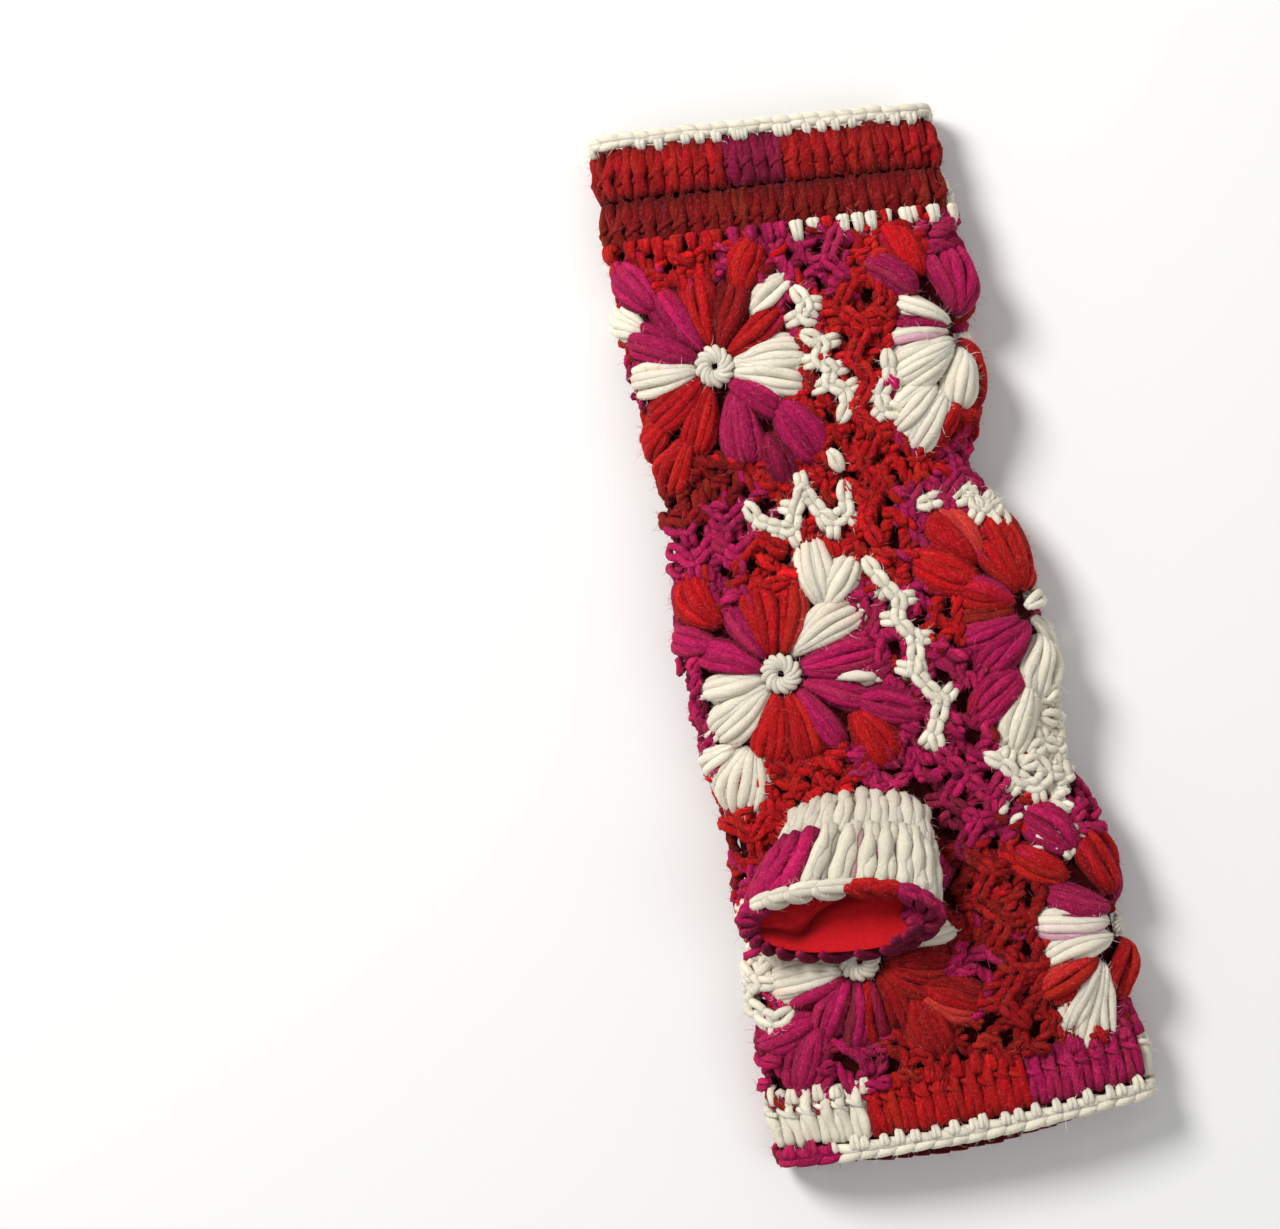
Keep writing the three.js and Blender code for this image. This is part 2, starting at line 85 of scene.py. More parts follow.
Y_FIRST, SHARES = -152.0, 1440
YS = np.arange(Y_FIRST, 153.0)
MAP_X, MAP_Z, MAP_L = np.zeros((len(YS), SHARES)), np.zeros((len(YS), SHARES)), np.zeros(len(YS))
for j, y in enumerate(YS):
    left, right, under, top = (float(hermite(STATIONS, c, y)) for c in (1, 2, 3, 4))
    turn = math.pi / 2 - np.arange(721) / 720 * 2 * math.pi
    c, s = np.cos(turn), np.sin(turn)
    p = np.where(s >= 0, 2.7, 4.2)
    x = (left + right) / 2 + (right - left) / 2 * np.sign(c) * np.abs(c) ** (2 / p)
    z = (under + top) / 2 + (top - under) / 2 * np.sign(s) * np.abs(s) ** (2 / p)
    run = np.r_[0, np.cumsum(np.hypot(np.diff(x), np.diff(z)))]
    MAP_L[j] = run[-1]
    MAP_X[j] = np.interp(np.arange(SHARES) / SHARES * run[-1], run, x)
    MAP_Z[j] = np.interp(np.arange(SHARES) / SHARES * run[-1], run, z)


def smooth(x, a, b):
    t = np.clip((x - a) / (b - a), 0, 1)
    return t * t * (3 - 2 * t)


def look_up(w, y):
    fy = np.clip(y - Y_FIRST, 0, len(YS) - 1.001)
    iy = fy.astype(int)
    ty = fy - iy
    fw = (w % 1.0) * SHARES
    iw = np.floor(fw).astype(int)
    tw = fw - iw
    iw = iw % SHARES
    jw = (iw + 1) % SHARES

    def both(t):
        return (t[iy, iw] * (1 - tw) + t[iy, jw] * tw) * (1 - ty) + (t[iy + 1, iw] * (1 - tw) + t[iy + 1, jw] * tw) * ty
    return both(MAP_X), both(MAP_Z), MAP_L[iy] * (1 - ty) + MAP_L[iy + 1] * ty


def body(uvh):
    """Points (..., 3) of the body's map to millimetres in the part's own plane, and the outward direction there."""
    uvh = np.asarray(uvh, float)
    w, y, h = uvh[..., 0] / ROUND, uvh[..., 1], uvh[..., 2]
    x, z, length = look_up(w, y)
    qx, qz, _ = look_up(w + 0.004, y)
    rx, rz, _ = look_up(w - 0.004, y)
    nx, nz = -(qz - rz), qx - rx
    size = np.hypot(nx, nz)
    nx, nz = nx / size, nz / size
    deep = 0.0
    for kw, ky, wide, long, d in DENTS:
        dw = w - kw
        dw = dw - np.round(dw)
        deep = deep + d * np.exp(-(dw * length / wide) ** 2 - ((y - ky) / long) ** 2)
    out = h - deep
    back = 0.5 - 0.5 * np.cos(2 * np.pi * w)
    bow = np.maximum(0, 1 - (x / 50) ** 2)
    yy = y - (4.8 * back ** 1.5 + 3.4 * bow) * smooth(-110 - y, 0, 22) - 0.09 * (x + 3.8) * smooth(y, 50, 132.4)
    n = np.stack([nx, np.zeros_like(nx), nz], -1)
    return np.stack([x + nx * out, yy, z + nz * out], -1), n


def thumb_face(k, s):
    s = np.clip(s, 0, 5)
    up_y, up_z, low_y, low_z, left, right = (hermite(THUMB, c, -s) for c in range(1, 7))
    c, q, p = np.cos(2 * np.pi * k), np.sin(2 * np.pi * k), 2.25
    x = (right - left) / 2 * np.sign(c) * np.abs(c) ** (2 / p)
    e = np.sign(q) * np.abs(q) ** (2 / p)
    return np.stack([(left + right) / 2 + x,
                     (up_y + low_y) / 2 + (up_y - low_y) / 2 * e + THUMB_LEAN * x,
                     (up_z + low_z) / 2 + (up_z - low_z) / 2 * e], -1)


def thumb(uvh):
    """The same for the thumb: u round it (0 at its right, a quarter at its upper side), v / 6.6 the row s."""
    uvh = np.asarray(uvh, float)
    k, s, h = uvh[..., 0] / THUMB_ROUND, uvh[..., 1] / 6.6, uvh[..., 2]
    base = thumb_face(k, s)
    along = thumb_face(k, s + 0.08) - thumb_face(k, s - 0.08)
    n = np.cross(thumb_face(k + 0.01, s) - thumb_face(k - 0.01, s), along)
    n /= np.linalg.norm(n, axis=-1, keepdims=True) + 1e-9
    beyond = np.maximum(0, s - 5)[..., None] * along / 0.16 + np.minimum(0, s)[..., None] * along / 0.16
    return base + beyond + n * h[..., None], n


# ------------------------------------------------------------------ colours
def linear(r, g, b):
    c = np.array([r, g, b]) / 255
    return np.where(c <= 0.04045, c / 12.92, ((c + 0.055) / 1.055) ** 2.4)


COLOURS = {
    "R": linear(173, 11, 19), "D": linear(128, 9, 16), "M": linear(164, 17, 78), "N": linear(122, 11, 52),
    "C": linear(229, 221, 202), "S": linear(206, 54, 50), "P": linear(226, 172, 190), "L": linear(198, 48, 128), "O": linear(198, 30, 24),
    # J, a near-black red, is painted shade on the wrist's first row
    "K": linear(148, 10, 17), "J": linear(116, 8, 13)}
CODES = "RDMNCSPLOKJ"
PALETTE = np.array([COLOURS[c] for c in CODES])


def tone(code):
    return PALETTE[CODES.index(code)]


def vary(col, amount=0.14):
    """Each strand takes the dye a little differently."""
    col = np.asarray(col, float)
    shape = col.shape[:-1]
    gain = np.exp(rng.normal(0, amount, shape))[..., None]
    white = (col.min(-1) > 0.4)[..., None]
    warm = np.clip(rng.normal(0, 0.5, shape), 0, 1)[..., None] * np.array([0.03, 0.010, 0.0])
    dyed = col * gain + warm
    violet = (col[..., 2] > 0.22 * col[..., 0])[..., None]
    pale = np.clip(rng.normal(-0.1, 0.45, shape), 0, 0.8)[..., None]
    dyed = np.where(violet, dyed * (1 - pale) + COLOURS["L"] * pale, dyed)
    return np.where(white, col * (1 + (gain - 1) * 0.35), dyed)


# ------------------------------------------------------------------ meshes from tubes
def unit(a):
    return a / (np.linalg.norm(a, axis=-1, keepdims=True) + 1e-12)


HAIRS = 0.62     # loose hairs to a square millimetre of strand


class Batch:
    """Tubes gathered into one mesh, with a colour and a fibre coordinate at every corner."""

    def __init__(self):
        self.v, self.c, self.fib, self.quads, self.tris, self.n, self.paths = [], [], [], [], [], 0, 0
        self.hair_p, self.hair_n, self.hair_t, self.hair_c = [], [], [], []
        self.quad_kind, self.tri_kind = [], []

    def tubes(self, p, r, col, k=8, up=None, flat=1.0, hairs=0.0, twist=0.55):
        """p (m, n, 3) in mm, r and col as broad as (m, n). up is the outward direction at the start of each path."""
        p = np.asarray(p, float)
        m, n, _ = p.shape
        r = np.broadcast_to(np.asarray(r, float), (m, n))
        col = np.broadcast_to(np.asarray(col, float), (m, n, 3))
        t = unit(np.gradient(p, axis=1))
        nrm = np.zeros_like(p)
        first = np.tile([0.0, 0.0, 1.0], (m, 1)) if up is None else np.broadcast_to(up, (m, 3)).astype(float)
        first = first - (first * t[:, 0]).sum(-1, keepdims=True) * t[:, 0]
        weak = np.linalg.norm(first, axis=-1) < 1e-3
        first[weak] = np.cross(t[weak, 0], [0.31, 0.77, 0.55])
        nrm[:, 0] = unit(first)
        for i in range(n - 1):
            v1 = p[:, i + 1] - p[:, i]
            c1 = (v1 * v1).sum(-1, keepdims=True) + 1e-12
            rl = nrm[:, i] - 2 / c1 * (v1 * nrm[:, i]).sum(-1, keepdims=True) * v1
            tl = t[:, i] - 2 / c1 * (v1 * t[:, i]).sum(-1, keepdims=True) * v1
            v2 = t[:, i + 1] - tl
            c2 = (v2 * v2).sum(-1, keepdims=True) + 1e-12
            nrm[:, i + 1] = unit(rl - 2 / c2 * (v2 * rl).sum(-1, keepdims=True) * v2)
        b = np.cross(t, nrm)
        ang = np.arange(k) / k * 2 * np.pi
        ca, sa = np.cos(ang), np.sin(ang)
        ring = p[:, :, None, :] + r[:, :, None, None] * (ca[:, None] * b[:, :, None, :] + flat * sa[:, None] * nrm[:, :, None, :])
        along = np.concatenate([np.zeros((m, 1)), np.cumsum(np.linalg.norm(np.diff(p, axis=1), axis=-1), axis=1)], 1)
        seed = (self.paths + np.arange(m)) * 3.717 % 97.0
        turned = ang[None, None, :] + (along * twist)[:, :, None]
        fib = np.stack([np.broadcast_to((along * 0.16)[:, :, None], (m, n, k)),
                        r[:, :, None] * np.cos(turned), r[:, :, None] * np.sin(turned)], -1)
        fib = fib + seed[:, None, None, None] * np.array([1.0, 0.37, 0.61])
        start = p[:, 0] - t[:, 0] * r[:, :1] * 0.6
        end = p[:, -1] + t[:, -1] * r[:, -1:] * 0.6
        self.v.append(np.concatenate([ring.reshape(m, n * k, 3), start[:, None], end[:, None]], 1).reshape(-1, 3))
        painted_lit_side = smooth(sa, -0.6, 0.8)[None, None, :, None]     # painted shade: the strand's underside, in the grooves between strands, is darkened in the colour, strongly for red and magenta, slightly for cream
        deep = np.where(col.min(-1) > 0.3, 0.10, 0.66)[:, :, None, None]
        cols = (col[:, :, None, :] * (1 - deep * (1 - painted_lit_side))).reshape(m, n * k, 3)
        self.c.append(np.concatenate([cols, col[:, :1], col[:, -1:]], 1).reshape(-1, 3))
        fibs = fib.reshape(m, n * k, 3)
        self.fib.append(np.concatenate([fibs, fibs[:, :1], fibs[:, -1:]], 1).reshape(-1, 3))
        size = n * k + 2
        base = self.n + np.arange(m)[:, None, None] * size
        i, j = np.meshgrid(np.arange(n - 1), np.arange(k), indexing="ij")
        j2 = (j + 1) % k
        q = np.stack([i * k + j, i * k + j2, (i + 1) * k + j2, (i + 1) * k + j], -1).reshape(-1, 4)
        self.quads.append((base + q[None]).reshape(-1, 4))
        jj = np.arange(k)
        a = np.stack([np.full(k, n * k), (jj + 1) % k, jj], -1)
        z = np.stack([np.full(k, n * k + 1), (n - 1) * k + jj, (n - 1) * k + (jj + 1) % k], -1)
        self.tris.append((base + np.concatenate([a, z])[None]).reshape(-1, 3))
        self.n += m * size
        self.paths += m
        mean = col.mean(1)
        kind = np.where(mean.min(-1) > 0.16, 2, np.where(mean[:, 2] > 0.22 * mean[:, 0], 1, 0))
        self.quad_kind.append(np.repeat(kind, len(q)))
        self.tri_kind.append(np.repeat(kind, 2 * k))
        if hairs > 0:
            area = (2 * np.pi * r[:, :-1] * np.diff(along, axis=1)).sum(1)
            count = rng.poisson(area * hairs * HAIRS)
            total = int(count.sum())
            if total:
                a_ = np.repeat(np.arange(m), count)
                b_ = rng.integers(0, n - 1, total)
                outward = np.flatnonzero(sa > -0.35)
                c_ = outward[rng.integers(0, len(outward), total)]
                f = rng.random(total)[:, None]
                at = ring[a_, b_, c_] * (1 - f) + ring[a_, b_ + 1, c_] * f
                mid = p[a_, b_] * (1 - f) + p[a_, b_ + 1] * f
                self.hair_p.append(at)
                self.hair_n.append(unit(at - mid))
                self.hair_t.append(t[a_, b_])
                self.hair_c.append(col[a_, b_])

    def triangles(self):
        return sum(len(q) for q in self.quads) * 2 + sum(len(t) for t in self.tris)


def settle(v):
    """Millimetres of the map to metres in the row frame, pressed flat where it rests."""
    v = v.copy()
    low = 1.5
    z = v[:, 2]
    v[:, 2] = np.where(z < low, low * np.exp(np.minimum((z - low) / low, 0)), z)
    return (v - ORIGIN) * MM


def mesh_object(name, v, quads, tris, colours, fib, materials, kinds=None):
    me = bpy.data.meshes.new(name)
    me.vertices.add(len(v))
    me.vertices.foreach_set("co", v.astype(np.float32).ravel())
    loops = np.concatenate([quads.ravel(), tris.ravel()]).astype(np.int32)
    starts = np.concatenate([np.arange(len(quads)) * 4, len(quads) * 4 + np.arange(len(tris)) * 3]).astype(np.int32)
    me.loops.add(len(loops))
    me.loops.foreach_set("vertex_index", loops)
    me.polygons.add(len(starts))
    me.polygons.foreach_set("loop_start", starts)
    me.update(calc_edges=True)
    me.polygons.foreach_set("use_smooth", np.ones(len(starts), bool))
    col = me.attributes.new("Col", "FLOAT_COLOR", "POINT")
    col.data.foreach_set("color", np.concatenate([colours, np.ones((len(v), 1))], 1).astype(np.float32).ravel())
    f = me.attributes.new("fib", "FLOAT_VECTOR", "POINT")
    f.data.foreach_set("vector", fib.astype(np.float32).ravel())
    me.validate()
    for m_ in materials:
        me.materials.append(m_)
    if kinds is not None:
        me.polygons.foreach_set("material_index", kinds.astype(np.int32))
    o = bpy.data.objects.new(name, me)
    bpy.context.scene.collection.objects.link(o)
    return o


def finish_batch(name, batch, nodes):
    v = settle(np.concatenate(batch.v))
    tris = np.concatenate(batch.tris) if batch.tris else np.zeros((0, 3), int)
    kinds = np.concatenate(batch.quad_kind + batch.tri_kind)
    o = mesh_object(name, v, np.concatenate(batch.quads), tris, np.clip(np.concatenate(batch.c), 0, 1), np.concatenate(batch.fib), wools, kinds)
    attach(o, "root")
    if nodes:
        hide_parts(*nodes)
    print(name, batch.triangles(), "triangles")
    counts.append(batch.triangles())
    return o


counts = []

# ------------------------------------------------------------------ materials
def node(nt, kind, **settings):
    n = nt.nodes.new(kind)
    for k_, v_ in settings.items():
        setattr(n, k_, v_)
    return n


def wool_material(name, tint, sheen, fibre, strength=0.80, dark=0.50, light=1.36, soak=0.25):
    m = bpy.data.materials.new(name)
    m.use_nodes = True
    nt = m.node_tree
    nt.nodes.clear()
    out = node(nt, "ShaderNodeOutputMaterial")
    pr = node(nt, "ShaderNodeBsdfPrincipled")
    nt.links.new(pr.outputs[0], out.inputs[0])
    col = node(nt, "ShaderNodeAttribute", attribute_name="Col")
    fib = node(nt, "ShaderNodeAttribute", attribute_name="fib")
    coarse = node(nt, "ShaderNodeTexNoise")
    coarse.inputs["Scale"].default_value = 1.9
    coarse.inputs["Detail"].default_value = 3.0
    coarse.inputs["Roughness"].default_value = 0.6
    fine = node(nt, "ShaderNodeTexNoise")
    fine.inputs["Scale"].default_value = 4.5
    fine.inputs["Detail"].default_value = 3.0
    fine.inputs["Roughness"].default_value = 0.7
    nt.links.new(fib.outputs["Vector"], coarse.inputs["Vector"])
    nt.links.new(fib.outputs["Vector"], fine.inputs["Vector"])
    mix = node(nt, "ShaderNodeMath", operation="MULTIPLY_ADD")
    mix.inputs[1].default_value = 0.5
    half = node(nt, "ShaderNodeMath", operation="MULTIPLY")
    half.inputs[1].default_value = 0.5
    nt.links.new(fine.outputs["Fac"], half.inputs[0])
    nt.links.new(coarse.outputs["Fac"], mix.inputs[0])
    nt.links.new(half.outputs[0], mix.inputs[2])
    place = node(nt, "ShaderNodeTexCoord")     # short fibres that lie every way
    frizz = node(nt, "ShaderNodeTexNoise")
    frizz.inputs["Scale"].default_value = 1500.0
    frizz.inputs["Detail"].default_value = 2.0
    frizz.inputs["Roughness"].default_value = 0.65
    frizz.inputs["Distortion"].default_value = 0.8
    nt.links.new(place.outputs["Object"], frizz.inputs["Vector"])
    streaks = mix
    mix = node(nt, "ShaderNodeMath", operation="MULTIPLY_ADD")
    mix.inputs[1].default_value = 0.42
    rest = node(nt, "ShaderNodeMath", operation="MULTIPLY")
    rest.inputs[1].default_value = 0.58
    nt.links.new(streaks.outputs[0], rest.inputs[0])
    nt.links.new(frizz.outputs["Fac"], mix.inputs[0])
    nt.links.new(rest.outputs[0], mix.inputs[2])
    ramp = node(nt, "ShaderNodeMapRange")
    ramp.inputs["From Min"].default_value = 0.36
    ramp.inputs["From Max"].default_value = 0.64
    ramp.inputs["To Min"].default_value = dark
    ramp.inputs["To Max"].default_value = light
    nt.links.new(mix.outputs[0], ramp.inputs["Value"])
    mul = node(nt, "ShaderNodeVectorMath", operation="SCALE")
    nt.links.new(col.outputs["Color"], mul.inputs[0])
    nt.links.new(ramp.outputs[0], mul.inputs["Scale"])
    pale = node(nt, "ShaderNodeMapRange")      # the odd lighter fibre, a painted highlight that stands in for fibres catching the light
    pale.inputs["From Min"].default_value = 0.50
    pale.inputs["From Max"].default_value = 0.74
    pale.inputs["To Min"].default_value = 0.0
    pale.inputs["To Max"].default_value = fibre
    nt.links.new(mix.outputs[0], pale.inputs["Value"])
    add = node(nt, "ShaderNodeVectorMath", operation="ADD")
    nt.links.new(mul.outputs[0], add.inputs[0])
    nt.links.new(pale.outputs[0], add.inputs[1])
    nt.links.new(add.outputs[0], pr.inputs["Base Color"])
    bump = node(nt, "ShaderNodeBump")
    bump.inputs["Strength"].default_value = strength
    bump.inputs["Distance"].default_value = 0.0005
    nt.links.new(mix.outputs[0], bump.inputs["Height"])
    nt.links.new(bump.outputs[0], pr.inputs["Normal"])
    pr.inputs["Roughness"].default_value = 0.85
    pr.inputs["Specular IOR Level"].default_value = 0.10
    pr.inputs["Sheen Weight"].default_value = sheen
    pr.inputs["Sheen Roughness"].default_value = 0.55
    pr.inputs["Sheen Tint"].default_value = (*tint, 1)
    pr.inputs["Subsurface Weight"].default_value = soak
    pr.inputs["Subsurface Radius"].default_value = (1.0, 0.55, 0.5) if tint[1] < 0.9 else (1.0, 0.95, 0.85)
    pr.inputs["Subsurface Scale"].default_value = 0.0011
    return m


def fleece_material(name):
    m = bpy.data.materials.new(name)
    m.use_nodes = True
    nt = m.node_tree
    nt.nodes.clear()
    out = node(nt, "ShaderNodeOutputMaterial")
    pr = node(nt, "ShaderNodeBsdfPrincipled")
    nt.links.new(pr.outputs[0], out.inputs[0])
    col = node(nt, "ShaderNodeAttribute", attribute_name="Col")
    fib = node(nt, "ShaderNodeAttribute", attribute_name="fib")
    noise = node(nt, "ShaderNodeTexNoise")
    noise.inputs["Scale"].default_value = 1.1
    noise.inputs["Detail"].default_value = 5.0
    noise.inputs["Roughness"].default_value = 0.75
    nt.links.new(fib.outputs["Vector"], noise.inputs["Vector"])
    ramp = node(nt, "ShaderNodeMapRange")
    ramp.inputs["From Min"].default_value = 0.3
    ramp.inputs["From Max"].default_value = 0.7
    ramp.inputs["To Min"].default_value = 0.82
    ramp.inputs["To Max"].default_value = 1.12
    nt.links.new(noise.outputs["Fac"], ramp.inputs["Value"])
    mul = node(nt, "ShaderNodeVectorMath", operation="SCALE")
    nt.links.new(col.outputs["Color"], mul.inputs[0])
    nt.links.new(ramp.outputs[0], mul.inputs["Scale"])
    nt.links.new(mul.outputs[0], pr.inputs["Base Color"])
    bump = node(nt, "ShaderNodeBump")
    bump.inputs["Strength"].default_value = 0.5
    bump.inputs["Distance"].default_value = 0.0005
    nt.links.new(noise.outputs["Fac"], bump.inputs["Height"])
    nt.links.new(bump.outputs[0], pr.inputs["Normal"])
    pr.inputs["Roughness"].default_value = 0.95
    pr.inputs["Specular IOR Level"].default_value = 0.1
    return m


def plain(name, colour, rough):
    m = bpy.data.materials.new(name)
    m.use_nodes = True
    p = m.node_tree.nodes["Principled BSDF"]
    p.inputs["Base Color"].default_value = (*colour, 1)
    p.inputs["Roughness"].default_value = rough
    p.inputs["Specular IOR Level"].default_value = 0.2
    return m


wools = [wool_material("red_wool", (1.0, 0.18, 0.17), 0.12, 0.035), wool_material("magenta_wool", (1.0, 0.32, 0.66), 0.22, 0.07),
         wool_material("cream_wool_yarn", (1.0, 0.97, 0.90), 0.12, 0.0, strength=0.85, dark=0.85, light=1.08, soak=0.45)]
fleece = fleece_material("brushed_fleece")

# ------------------------------------------------------------------ flowers
# base radius and angle, tip radius and angle (degrees, round the flower's middle), half width, colours across
FLOWERS = {
    "flower_front_2": (-0.121, -9.5, "C", [
        (5.6, 5, 27.9, 4, 5.6, "M"), (6.8, 48, 29.1, 27, 4.6, "C"), (5.7, 71, 23.8, 70, 3.9, "RRRSS"),
        (5.7, 108, 24.4, 96, 5.2, "R"), (5.9, 124, 22.5, 119, 3.0, "M"), (5.5, 157, 22.6, 154, 4.2, "M"),
        (5.6, -172, 21.6, -176, 3.5, "C"), (5.6, -144, 25.2, -148, 5.2, "C"), (5.9, -114, 24.8, -113, 5.0, "R"),
        (5.8, -81, 24.6, -86, 4.9, "R"), (6.2, -52, 24.0, -62, 3.4, "M"), (6.3, -34, 24.6, -28, 3.6, "M"),
        (13.5, -14, 26.3, -12, 2.3, "C"), (20.7, -30, 39.5, -26, 4.7, "M"), (22.0, -38, 37.0, -51, 5.6, "R"),
        (21.4, 132, 36.8, 124, 5.2, "R"), (19.0, 146, 32.0, 149, 3.6, "M"), (23.0, -125, 40.4, -120, 7.0, "C"),
        (24.5, -136, 36.0, -140, 3.0, "C"), (22.5, 46, 38.2, 66, 5.0, "C"), (22.8, 44, 38.6, 45, 4.1, "C")]),
    "flower_front_1": (-0.133, 74.1, "C", [
        (17.8, 44, 32.8, 38, 3.2, "C"), (5.2, 2, 26.9, 0, 4.4, "C"), (5.2, -25, 26.4, -18, 4.6, "C"),
        (5.4, -50, 21.5, -42, 3.8, "M"), (20.4, -37, 38.6, -48, 6.2, "M"), (8.5, -60, 27.0, -83, 5.6, "M"),
        (23.0, -62, 37.0, -66, 4.2, "N"), (5.5, 32, 24.0, 30, 4.0, "R"), (5.5, 60, 24.0, 62, 4.4, "D"),
        (5.5, 90, 24.2, 92, 4.4, "R"), (5.5, 120, 24.2, 120, 4.4, "M"), (5.5, 150, 24.2, 152, 4.4, "M"),
        (5.5, 180, 24.0, 180, 4.2, "C"), (5.5, -150, 24.0, -150, 4.4, "R"), (5.5, -120, 24.2, -120, 4.4, "R"),
        (21.5, 60, 36.5, 60, 4.6, "R"), (21.5, 128, 36.5, 126, 4.6, "M"), (21.5, 148, 36.0, 146, 4.6, "C"),
        (21.5, -146, 36.0, -146, 4.6, "R"), (21.5, -126, 36.5, -124, 4.6, "R")]),
    "flower_front_3": (-0.106, -88.9, "C", [
        (6.1, -161, 24.2, -174, 5.2, "C"), (7.0, -139, 22.4, -154, 2.6, "M"), (6.6, -128, 21.5, -122, 4.4, "M"),
        (5.9, -104, 23.4, -101, 3.4, "MMN"), (6.0, -76, 22.4, -83, 3.3, "NRR"), (6.6, -46, 21.8, -64, 3.5, "K"),
        (7.4, -11, 24.5, -12, 4.2, "K"), (7.0, -28, 22.0, -34, 3.6, "K"), (17.8, -33, 35.6, -31, 5.6, "KKRS"),
        (18.2, -42, 33.6, -57, 5.4, "K"), (18.6, -135, 32.4, -147, 4.8, "M"), (19.8, -130, 36.0, -123, 5.0, "M"),
        (7.4, 12, 27.4, 8, 3.6, "C"), (5.5, 40, 24.0, 38, 4.2, "R"), (5.5, 68, 24.0, 68, 4.2, "M"),
        (5.5, 96, 24.0, 96, 4.2, "R"), (5.5, 124, 24.0, 124, 4.2, "M"), (5.5, 154, 24.0, 154, 4.2, "C"),
        (21.5, 40, 36.0, 38, 4.4, "M"), (21.5, 54, 36.0, 56, 4.4, "R"), (21.5, 128, 35.0, 126, 4.4, "C"),
        (21.5, 146, 35.0, 146, 4.4, "C")]),
    "flower_side_1": (0.226, 73.5, "M", [
        (19.1, 119, 35.9, 116, 4.9, "R"), (17.0, 137, 33.7, 137, 5.0, "M"), (3.6, 142, 20.6, 150, 2.9, "C"),
        (4.0, 168, 19.4, 168, 2.4, "M"), (4.0, -172, 20.6, -179, 2.7, "PC"), (4.6, -122, 24.4, -154, 6.4, "C"),
        (5.8, 108, 23.4, 106, 3.0, "M"), (4.8, 92, 23.3, 88, 4.2, "M"), (4.6, 60, 23.4, 66, 4.2, "MMP"),
        (4.6, 30, 23.4, 36, 4.2, "R"), (6.6, -84, 22.6, -100, 4.4, "C"), (6.6, -66, 22.9, -80, 3.2, "R"),
        (18.0, -124, 34.0, -134, 5.6, "C"), (19.0, -112, 36.0, -120, 4.6, "C"), (19.8, -99, 33.5, -110, 2.8, "R"),
        (4.6, 0, 23.4, 6, 4.2, "M"), (4.6, -30, 23.4, -24, 4.2, "C"), (4.6, -52, 23.4, -52, 4.0, "R"),
        (20.5, 36, 35.0, 36, 4.6, "M"), (20.5, 56, 35.0, 56, 4.6, "R"), (20.5, -36, 35.0, -36, 4.6, "M"),
        (20.5, -56, 35.0, -56, 4.6, "R")]),
    "flower_side_2": (0.233, -3.9, "C", [
        (17.6, 129, 35.2, 121, 6.5, "RRRSS"), (14.5, 149, 33.0, 147, 6.0, "R"), (5.2, 125, 20.6, 116, 3.6, "R"),
        (4.6, 98, 27.0, 90, 6.4, "RRRRS"), (5.0, 164, 19.8, 156, 4.6, "RRM"), (5.4, -168, 19.2, -179, 3.0, "D"),
        (5.6, -146, 21.0, -163, 4.3, "M"), (5.9, -112, 22.8, -140, 5.4, "M"), (19.5, -114, 35.6, -129, 5.4, "M"),
        (22.0, -107, 40.6, -112, 5.2, "C"), (9.5, -86, 26.0, -100, 4.8, "C"), (5.0, 60, 23.6, 60, 4.2, "R"),
        (5.0, 30, 23.6, 32, 4.2, "C"), (5.0, 2, 23.6, 2, 4.2, "M"), (5.0, -28, 23.6, -28, 4.2, "M"),
        (5.0, -58, 23.6, -62, 4.2, "C"), (20.5, 36, 35.0, 36, 4.6, "C"), (20.5, 56, 35.0, 56, 4.6, "R"),
        (20.5, -36, 35.0, -36, 4.6, "R"), (20.5, -56, 35.0, -58, 4.6, "C")]),
    "flower_side_3": (0.246, -93.5, "C", [
        (24.5, 112, 41.0, 119, 6.0, "M"), (20.3, 129, 35.7, 135, 4.2, "R"), (9.5, 102, 27.0, 101, 4.6, "R"),
        (6.6, 82, 25.0, 84, 4.0, "M"), (6.2, 122, 22.3, 147, 4.8, "M"), (4.6, 158, 23.6, 168, 4.4, "PCC"),
        (4.8, -148, 23.0, -166, 4.8, "C"), (11.6, -142, 28.5, -150, 4.9, "RRRS"), (12.0, -134, 31.0, -129, 3.5, "C+"), (12.2, -130, 32.4, -118, 3.6, "C+"),
        (12.0, -126, 29.5, -108, 3.3, "C+"), (4.4, -92, 20.4, -100, 4.7, "R"), (5.0, -64, 23.0, -70, 4.2, "C"), (5.0, 54, 23.6, 54, 4.2, "R"),
        (5.0, 26, 23.6, 26, 4.2, "M"), (5.0, -4, 23.6, -4, 4.2, "C"), (5.0, -34, 23.6, -36, 4.2, "R"),
        (20.5, 36, 35.0, 36, 4.6, "M"), (20.5, 56, 36.0, 58, 4.6, "R"), (20.5, -36, 34.0, -36, 4.6, "R"),
        (20.5, -54, 34.0, -56, 4.6, "C")]),
}
PLAIN = {  # hidden flowers: place, ring, the twelve petals' colours from the right, and the eight corner puffs'
    "flower_back_1": (0.555, 71.0, "R", "MMRRCCMMRRRC", "MRCCRMMR"),
    "flower_back_2": (0.556, -9.0, "C", "RRMMMCCRRMMC", "RRMCCMRM"),
    "flower_back_3": (0.562, -89.5, "M", "CCRRRMMCRRMM", "CRMMRRCC"),
}
for name, (w, y, ring, petals, corners) in PLAIN.items():
    rows = [(5.5, 4 + 30 * i, 24.3, 4 + 30 * i, 4.5, c_) for i, c_ in enumerate(petals)]
    rows += [(21.5, 49 + 90 * (i // 2) + (11 if i % 2 else -11), 36.4, 49 + 90 * (i // 2) + (10 if i % 2 else -10), 4.7, c_)
             for i, c_ in enumerate(corners)]
    FLOWERS[name] = (w, y, ring, rows)

ROOT = (-14.0, -52.5, 15.5, 6.6)     # the thumb's opening in the mesh: middle and half sizes


